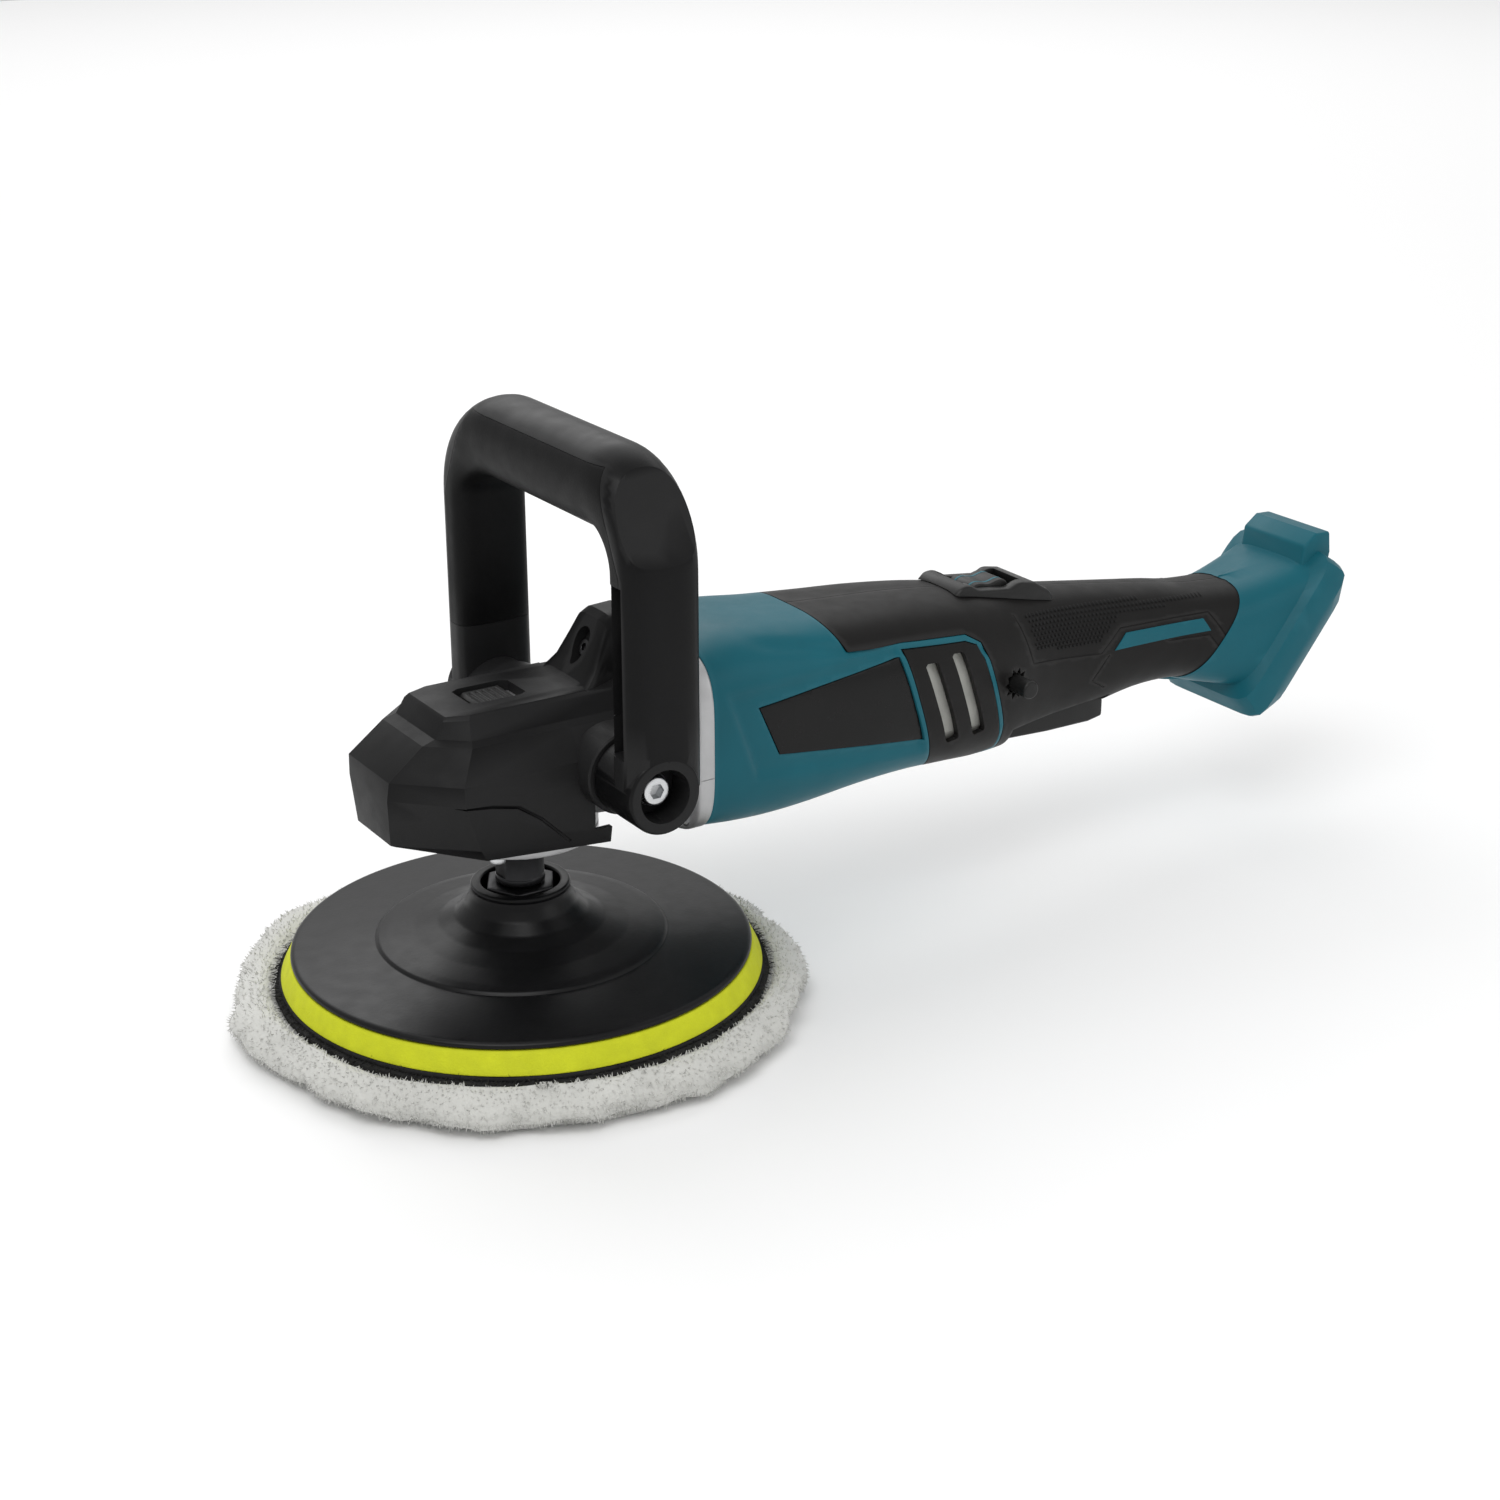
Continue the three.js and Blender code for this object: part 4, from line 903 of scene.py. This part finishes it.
def make_controls():
    lever = prism("trigger_skin", [(213, 65), (213, 72.3), (222, 74.6), (222, 79), (258, 79), (260, 74.2),
                                   (267.6, 73.8), (269.2, 72), (269.2, 64.6), (262, 63.4), (240, 63.6)],
                  -13.2, 13.2, CONTROL)
    stand_for(rounded(lever, 1.3, 4, angle=30), "trigger", "control", "trigger")
    stem = softened([(0, -39), (3.1, -39), (3.7, -38.3), (3.7, -22), (0, -22)], 0.5, 3)
    button = turned("lock_on_button_skin", stem, CONTROL, "Y", BUTTON_PLACE, 48)
    stand_for(button, "lock_on_button", "control", "lock_on_button")
    side_view = [(187, 129), (193, 134.4), (197.5, 134.6), (202, 131.6), (218, 129.6), (222.5, 131.6),
                 (230, 130.2), (238, 125.5), (241, 119), (241, 105), (187, 105)]
    bezel = prism("dial_bezel_skin", side_view, -13.5, 13.5, CONTROL)
    rounded(bezel, 1.8, 4, angle=20)
    cut(bezel, body_skin("under", 170, 250, 3, -0.3, TOOL, count=96),
        block("well", 196.4, 225.6, -8.6, 8.6, 100, 160))
    stand_for(rounded(bezel, 0.35, 2, angle=50), "body", "control", "dial_bezel")
    dial_x, _, dial_z = DIAL_PLACE
    outline = []
    for angle in circle(96):
        reach = DIAL_RADIUS + DIAL_WAVE * math.cos(6 * angle)
        outline.append((dial_x + reach * math.cos(angle), dial_z + reach * math.sin(angle)))
    wheel = prism("speed_dial_skin", outline, -7.8, 7.8, CONTROL)
    cut(wheel, rod("bore", 2.3, -20, 20, "Y", DIAL_PLACE, 24))
    stand_for(rounded(wheel, 0.8, 3, angle=50), "speed_dial", "control", "speed_dial")
    raised = [(x + (x - dial_x) * 0.006, z + (z - dial_z) * 0.006) for x, z in outline]
    for y in (-4.4, 4.4):
        stand_for(prism("dial_band", raised, y - 0.5, y + 0.5, TEAL), "speed_dial", "teal")


# ------------------------ battery mount
def mount_ring(back, low, high, half, squareness, count=72):
    ring = []
    for angle in circle(count):
        reach = power_reach(angle, squareness)
        ring.append((half * reach * math.cos(angle),
                     (low + high) / 2 + (high - low) / 2 * reach * math.sin(angle), back))
    return ring


# Sections of the battery plate, back from its face: back, lowest, highest, half width, squareness.
MOUNT_ROWS = [
    (-19.5, -7.5, 67, 29.5, 8), (-14, -8.5, 67.4, 30.2, 9), (-9.5, -10, 67, 30.5, 11),
    (-7.6, -9.2, 66.2, 30.5, 11), (-0.4, -0.5, 59.2, 27.3, 11), (0, 0, 58.7, 27, 11),
]
LATCH_TAB = [(371.5, 104), (374, 122.5), (380.6, 127.2), (388.6, 126.8), (389.8, 117.5), (387, 104)]


def make_battery_mount():
    count = 72
    start = mount_ring(-44.5, -17, 35.2, 22, 2.6, count)
    neck = []
    for across, along, back in start:
        x, _, z = mount_point(0, along, back)
        reach = body_y(x, z, 0.35)
        neck.append((math.copysign(reach, across) if abs(across) > 0.01 else 0, along, back))
    full = mount_ring(-21.5, -3.5, 62, 26, 4.5, count)
    rings = []
    for step in range(13):
        t = step / 12
        ease = t ** 1.15
        rings.append([tuple(a[k] + (b[k] - a[k]) * (t if k == 2 else ease) for k in range(3))
                      for a, b in zip(neck, full)])
    for row in MOUNT_ROWS:
        rings.append(mount_ring(*row, count))
    skin = loft("battery_mount_skin", [[mount_point(*p) for p in ring] for ring in rings], TEAL, sharp=24)
    tab = prism("tab", LATCH_TAB, -19, 19)
    combine(skin, rounded(tab, 1.2, 3), "UNION")
    room = body_skin("handle_room", 290, 365, 4, -0.25, TOOL, count=96)
    cut(room, mount_block("wall", 60, -80, 160, -11.4, 60))
    cut(skin, room, mount_block("pocket", 22, 4, 56, -9, 10), mount_block("wires", 8, 14, 30, -60, 1))
    for sign in (-1, 1):
        rail = mount_block("rail_slot", 1.6, 6, 56, -6.4, -3.6)
        rail.data.transform(Matrix.Translation((0, sign * 22.6 * MM, 0)))
        cut(skin, rail)
    stand_for(rounded(skin, 0.5, 2, angle=45, sharp=24), "body", "teal", "battery_mount")
    holder = mount_block("terminal_block_skin", 16, 6, 25, -8.6, -2, CONTROL)
    stand_for(rounded(holder, 0.7, 3), "body", "control", "terminal_block")
    blades = mount_block("battery_terminals_skin", 14, 25.4, 28.4, -8.6, -7.4, TERMINAL)
    for offset in (-12, 0, 12):
        blade = mount_block("blade", 0.5, 25.4, 38, -8.6, -3, TERMINAL)
        blade.data.transform(Matrix.Translation((0, offset * MM, 0)))
        combine(blades, blade, "UNION")
    stand_for(rounded(blades, 0.15, 1), "body", "terminal", "battery_terminals")


# ------------------------ gear head
GEAR_AXIS = 104
PIVOT = (21.4, 0, 104.5)
COVER_REAR = 20
# Levels of the rubber cover: z, nose x, nose half width, side half width, x of the side corner.
COVER_LEVELS = [
    (76.8, -53.5, 10, 33.5, -30), (84, -57.5, 13.5, 35.3, -33), (102, -58.8, 15.5, 36, -38.5),
    (109, -58.2, 16.5, 35.2, -38.5), (119.6, -44.5, 16, 27.6, -31), (121, -39.5, 15.5, 24.2, -29.5),
    (126.6, -36, 15.2, 19, -27.5), (128, -34.6, 14.4, 17.5, -26.5),
]
LOCK_WINDOW = (-21.3, 1.3, 9.8)
WINDOW_CORNER = 3
WINDOW_END = 1.2
HUMP_ROWS = [(8, 112, 126.6, 18), (16, 112, 127.6, 18.2), (21, 112, 129, 17.8), (25.5, 112, 134, 15.5),
             (29.5, 112, 142, 13.4), (33, 112, 148.6, 12.2), (36, 112, 150.6, 11.7), (45, 112, 151, 12),
             (53.7, 112, 148.4, 14)]
HUMP_SQUARENESS = 4.5
# The grooved line round the cover's side, for the +Y side.
COVER_GROOVE = [(-58, 1, 102), (-57.2, 15, 102), (-45.5, 27.6, 102), (-38, 35.4, 101.2), (-28, 35.6, 100),
                (-18, 35.5, 97.5), (-9, 35.4, 91), (3, 34.6, 79)]
SCREW_PLACE = Vector((27.6, 0, 138.4))
SCREW_DIRECTION = Vector((-0.889, 0, 0.457))
SCREW_RISE = Vector((0.457, 0, 0.889))


def cover_ring(z, nose, nose_half, side, corner):
    half = [(nose, nose_half), (corner, side), (COVER_REAR, side)]
    ring = half + [(x, -y) for x, y in reversed(half)]
    drop = 0.09 if z < 80 else 0.0
    return [(x, y, z - (x + 5) * drop) for x, y in ring]


def cover_saddle():
    sections = [(8, [(34.5, 110), (27.6, 119.6), (24.2, 121), (19, 126.6), (17.5, 127.9)]),
                (30, [(35.8, 112), (28.8, 120.2), (25.4, 121.6), (19.6, 126.4), (18.6, 127.1)]),
                (53.7, [(37, 116), (33, 124), (30, 125.4), (24, 130.6), (23, 131.4)])]
    return [[(x, y, z) for y, z in half] + [(x, -y, z) for y, z in reversed(half)] for x, half in sections]


def neck_tool():
    rings = [section_ring(x, low, high, half, square, -0.6, 64) for x, low, high, half, square in NECK_ROWS]
    return loft("neck_room", rings, TOOL)


def window_tool():
    """The opening over the spindle lock, with its corners cut."""
    x0, x1, half = LOCK_WINDOW
    c = WINDOW_CORNER
    end = half - WINDOW_END
    side = half - c
    outline = [(x0 + c, -end), (x1 - c, -end), (x1, -side), (x1, side), (x1 - c, end), (x0 + c, end),
               (x0, side), (x0, -side)]
    return loft("window", [[(x, y, z) for x, y in outline] for z in (118, 160)], TOOL)


def screw_recess():
    """A drop-shaped pocket square to the hump's front slope."""
    drop = []
    for angle in circle(32):
        drop.append((7.5 * math.cos(angle), 4.2 * math.sin(angle) * (1 + 0.35 * math.cos(angle))))
    rings = [[SCREW_PLACE + SCREW_RISE * a + Vector((0, b, 0)) + SCREW_DIRECTION * out for a, b in drop]
             for out in (-4.2, 8)]
    return loft("screw_recess", rings, TOOL)


def make_head_cover():
    cover = loft("head_cover_skin", [cover_ring(*row) for row in COVER_LEVELS], BOOT_RUBBER)
    saddle = loft("saddle", cover_saddle(), TOOL)
    hump_rings = [section_ring(*row, HUMP_SQUARENESS, count=64) for row in HUMP_ROWS]
    hump = loft("hump", hump_rings, TOOL, sharp=30)
    combine(cover, saddle, "UNION")
    rounded(cover, 1.5, 3, angle=14)
    combine(cover, hump, "UNION")
    inner = [(70, -50.4, 8, 31, -28), *[(z, nose + 2.6, half - 1, side - 2.6, corner + 1)
                                         for z, nose, half, side, corner in COVER_LEVELS[1:5]],
             (120.5, -35.6, 13, 20.6, -27), (124.3, -31.6, 11.4, 15, -24)]
    rings = [[(x if x < 20 else 60, y, z) for x, y, z in cover_ring(*row)] for row in inner]
    barrel = [(0, 60), (29.8, 60), (29.8, 110.2), (24.4, 119.1), (18.8, 124.3), (0, 124.3)]
    cut(cover, loft("hollow", rings, TOOL), turned("barrel_room", barrel, TOOL, segments=64), neck_tool(),
        rod("pivot_room", 13.3, -60, 60, "Y", PIVOT, 64), block("rear_trim", 12.8, 60, -60, 60, 81, 112),
        block("tail_trim", 21.6, 60, -60, 60, 60, 82), window_tool(), screw_recess())
    for sign in (-1, 1):
        cut(cover, tube("groove", [(x, sign * y, z) for x, y, z in COVER_GROOVE], 0.75))
    for sign in (-1, 1):
        profile = [(13.3, sign * 30), (15.7, sign * 30), (15.7, sign * 43.2), (15.1, sign * 43.9),
                   (13.3, sign * 43.9)]
        collar = turned("collar", profile, TOOL, "Y", PIVOT, 72)
        combine(cover, cut(collar, neck_tool()), "UNION")
    stand_for(rounded(cover, 0.6, 2, angle=48, sharp=28), "body", "boot_rubber", "head_cover")
    seat = SCREW_PLACE - SCREW_DIRECTION * 4.3
    screw = socket_screw("cover_screw", 3.1, 2.4, seat, SCREW_DIRECTION, DARK_STEEL)
    stand_for(screw, "body", "dark_steel")


def make_spindle_lock():
    side_view = [(LOCK_X - 8.3, 123.6), (LOCK_X - 8.3, 125.9), (LOCK_X - 7, 126.9), (LOCK_X + 7, 126.9),
                 (LOCK_X + 8.3, 125.9), (LOCK_X + 8.3, 123.6)]
    cap = prism("spindle_lock_button_skin", side_view, -7, 7, CONTROL)
    for i in range(5):
        x = LOCK_X - 5 + i * 2.5
        cut(cap, block("groove", x - 0.45, x + 0.45, -5.4, 5.4, 126.3, 130))
    stand_for(rounded(cap, 0.45, 3), "spindle_lock", "control", "spindle_lock_button")


LOCK_X = -10
LOCK_PIN_X = -13
COVER_SCREW_CIRCLE = 25.7
NECK_ROWS = [(4, 78, 123.5, 27, 2.6), (26, 77, 125, 28.5, 3), (55, 74, 132, 33, 3.2)]
FLANGE_ROW = (66.6, 138.8, 39.5, 4.2)


def cover_screw_centres():
    angles = [math.radians(45 + 90 * i) for i in range(4)]
    return [(COVER_SCREW_CIRCLE * math.cos(a), COVER_SCREW_CIRCLE * math.sin(a), 0) for a in angles]


def make_gear_case():
    barrel = [(0, 75.7), (29.5, 75.7), (29.5, 110), (24, 119), (18.5, 124), (0, 124)]
    case = turned("gear_case_skin", softened(barrel, 1.0, 3), ALUMINIUM, segments=96)
    neck = loft("neck", [section_ring(*row, count=96) for row in NECK_ROWS], TOOL)
    rim = ((54.0, 1.6), (54.3, 0.8), (54.8, 0.3), (55.6, 0), (60.4, 0), (61, 0.4))
    rings = [section_ring(x, *FLANGE_ROW, inset=inset, count=144) for x, inset in rim]
    flange = loft("flange", rings, TOOL)
    boss_profile = softened([(0, -44), (13, -44), (13, 44), (0, 44)], 1.0, 3)
    boss = turned("boss", boss_profile, TOOL, "Y", PIVOT, 72)
    for part in (neck, flange, boss):
        combine(case, part, "UNION")
    rotor_axis = (0, 0, GEAR_AXIS)
    tools = [
        rod("cavity", 25, 96, 115, segments=64),
        rod("cover_bore", 22, 60, 97, segments=64),
        rod("tunnel", 12.5, 10, 45.2, "X", rotor_axis, 48),
        rod("bearing_seat", 11.3, 44, 70, "X", rotor_axis, 48),
        rod("fan_room", 31.5, 56.6, 70, "X", rotor_axis, 64),
        rod("roof_seat", 8.3, 110, 118, segments=40),
        block("parting_line", 53, 62, -42, -39.1, 91.9, 92.3),
        block("parting_line", 53, 62, 39.1, 42, 91.9, 92.3),
        block("lock_pocket", -18.6, -1.4, -7.3, 7.3, 119.2, 140),
        rod("lock_hole", 2.7, 110, 140, centre=(LOCK_PIN_X, 0, 0), segments=24),
        rod("bolt_bore", 4.3, -50, -31, "Y", PIVOT, 32),
        rod("bolt_bore", 4.3, 31, 50, "Y", PIVOT, 32),
    ]
    for centre in cover_screw_centres():
        tools.append(rod("screw_bore", 1.8, 70, 84, centre=centre, segments=16))
    stepped = [(0, 50), (4, 50), (4, 57.5), (2.3, 57.5), (2.3, 70), (0, 70)]
    for y in (-28.5, 28.5):
        for z in (75, 131):
            tools.append(turned("screw_bore", stepped, TOOL, "X", (0, y, z), 24))
    cut(case, *tools)
    stand_for(rounded(case, 0.25, 2, angle=50), "body", "aluminium", "gear_case")


def make_bearing_cover():
    profile = [(9.6, 70.5), (20.5, 70.5), (21.5, 72.6), (29.5, 72.6), (29.5, 75.4), (20.6, 75.4),
               (20.6, 87.5), (17.8, 87.5), (17.8, 75.7), (9.6, 75.2)]
    cover = turned("bearing_cover_skin", profile, ALUMINIUM, segments=96)
    shank = softened([(0, 70), (2.9, 70), (2.9, 72.3), (1.5, 72.3), (1.5, 83), (0, 83)], 0.3, 2)
    for i, centre in enumerate(cover_screw_centres()):
        cut(cover, rod("bore", 1.9, 60, 80, centre=centre, segments=16))
        screw = turned(f"bearing_cover_screw_{i + 1}_skin", shank, STEEL, centre=centre, segments=28)
        cut(screw, rod("socket", 1.4, 69, 71.4, centre=centre, segments=6))
        stand_for(screw, "body", "steel", f"bearing_cover_screw_{i + 1}")
    stand_for(rounded(cover, 0.35, 3), "body", "aluminium", "bearing_cover")


# ------------------------ loop handle
ARM_X = 22.9
ARM_HALF_X = 15.4
ARM_Y = 62
ARM_HALF_Y = 8
BAR_Z = 208.5
BAR_HALF = 15.5
BEND = 25
SOFT_START = 133
STRIP = 6


def loop_rings():
    stations = []
    top = BAR_Z - BEND
    for z in (PIVOT[2], 120, 133, 150, 166, top):
        stations.append((ARM_Y, z, 0.0, ARM_HALF_Y))
    for step in range(1, 17):
        turn = step / 16
        angle = turn * math.pi / 2
        stations.append((ARM_Y - BEND + BEND * math.cos(angle), top + BEND * math.sin(angle), angle,
                         ARM_HALF_Y + (BAR_HALF - ARM_HALF_Y) * smooth_step(0, 1, turn)))
    stations += [(-y, z, math.pi - angle, half) for y, z, angle, half in reversed(stations)]
    rings = []
    for y, z, angle, half in stations:
        square = 3.4 - 1.2 * (half - ARM_HALF_Y) / (BAR_HALF - ARM_HALF_Y)
        ring = []
        for i in range(56):
            turn = 2 * math.pi * i / 56
            reach = power_reach(turn, square)
            out = half * reach * math.cos(turn)
            ring.append((ARM_X + ARM_HALF_X * reach * math.sin(turn), y + out * math.cos(angle),
                         z + out * math.sin(angle)))
        rings.append(ring)
    return rings


def loop_trim(inset):
    """The flat outer sides and cut upper corners of the loop, seen along X."""
    side = 70 - inset
    half = [(side, 60), (side, 187 - inset * 0.5), (51 - inset * 0.5, 224.5 - inset)]
    ring = half + [(-y, z) for y, z in reversed(half)]
    return loft("trim", [[(x, y, z) for y, z in ring] for x in (-20, 70)], TOOL)


def loop_slots():
    wedge = ((28.8, 50), (45, 50), (45, 62.6))
    chamfer = loft("chamfer", [[(x, y, z) for x, y in wedge] for z in (110, 196)], TOOL)
    near = block("slot", -20, 25, -65.2, -56.2, 119, 181)
    return [near, block("slot", 21, 60, 58.5, 65.2, 119, 181), chamfer]


def bar_core(half, end):
    """A square bar along the middle of the crossbar."""
    corners = ((-half, -half), (half, -half), (half, half), (-half, half))
    return loft("core", [[(ARM_X + a, y, BAR_Z + b) for a, b in corners] for y in (-end, end)], TOOL)


def make_loop_handle():
    frame_part = loft("loop_handle_skin", loop_rings(), HANDLE_BLACK, sharp=24)
    keep(frame_part, loop_trim(0))
    zone = loop_trim(STRIP - 0.2)
    keep(zone, block("zone", -30, 80, -90, 90, SOFT_START - 0.2, 250))
    cut(frame_part, zone)
    combine(frame_part, keep(bar_core(6, 65), loop_trim(1)), "UNION")
    for sign in (-1, 1):
        side_view = [(0, sign * 44.3), (14.2, sign * 44.3), (14.2, sign * 70), (0, sign * 70)]
        combine(frame_part, turned("hub", softened(side_view, 1.2, 4), TOOL, "Y", PIVOT, 96), "UNION")
        cut(frame_part, rod("pocket", 9.9, sign * 58, sign * 80, "Y", PIVOT, 64),
            rod("bore", 4.6, sign * 40, sign * 60, "Y", PIVOT, 40))
    cut(frame_part, *loop_slots())
    stand_for(rounded(frame_part, 0.9, 3, angle=42, sharp=28), "loop_handle", "handle_black", "loop_handle")

    grip = loft("loop_handle_grip_skin", loop_rings(), GRIP_RUBBER, sharp=24)
    keep(grip, loop_trim(STRIP))
    keep(grip, block("zone", -30, 80, -90, 90, SOFT_START, 250))
    cut(grip, keep(bar_core(6.3, 66), loop_trim(STRIP - 0.3)), *loop_slots())
    stand_for(rounded(grip, 0.5, 2, angle=42, sharp=28), "loop_handle", "grip_rubber", "loop_handle_grip")

    for side, sign in SIDES:
        profile = [(0, sign * 33), (4, sign * 33), (4, sign * 58.3), (6.3, sign * 58.3), (6.3, sign * 61),
                   (5.4, sign * 61.4), (5.4, sign * 63.6), (4.8, sign * 64.2), (0, sign * 64.2)]
        bolt = turned(f"handle_bolt_{side}_skin", softened(profile, 0.35, 3), STEEL, "Y", PIVOT, 64)
        cut(bolt, rod("socket", 2.9, sign * 60.6, sign * 70, "Y", PIVOT, 6))
        stand_for(rounded(bolt, 0.15, 2), "body", "steel", f"handle_bolt_{side}")


# ------------------------ assembly
NODE_MATERIALS = {
    "steel": STEEL, "dark_steel": DARK_STEEL, "aluminium": ALUMINIUM, "boot_rubber": BOOT_RUBBER,
    "grip_rubber": GRIP_RUBBER, "handle_black": HANDLE_BLACK, "teal": TEAL, "shell_black": SHELL_BLACK,
    "badge": BADGE, "control": CONTROL, "plate_black": PLATE_BLACK, "fleece": FLEECE, "foam": FOAM,
    "pad_backing": BACKING_CLOTH, "hook": BACKING_CLOTH, "mesh": MESH_WIRE, "board": BOARD,
    "copper": COPPER, "terminal": TERMINAL,
}


def dress_cad_nodes():
    """Every CAD node that stays gets its slot's finish."""
    for row in frame["record"]["subparts"]:
        node = frame["nodes"][row["node"]]
        node.data.materials.clear()
        node.data.materials.append(NODE_MATERIALS[row["material_slot"]])
        shade(node)


make_camera()
make_studio()
dress_cad_nodes()
make_pad_stack()
make_gear_case()
make_bearing_cover()
make_head_cover()
make_spindle_lock()
make_loop_handle()
make_motor_housing()
make_side_panels()
make_handle_shells()
make_controls()
make_battery_mount()
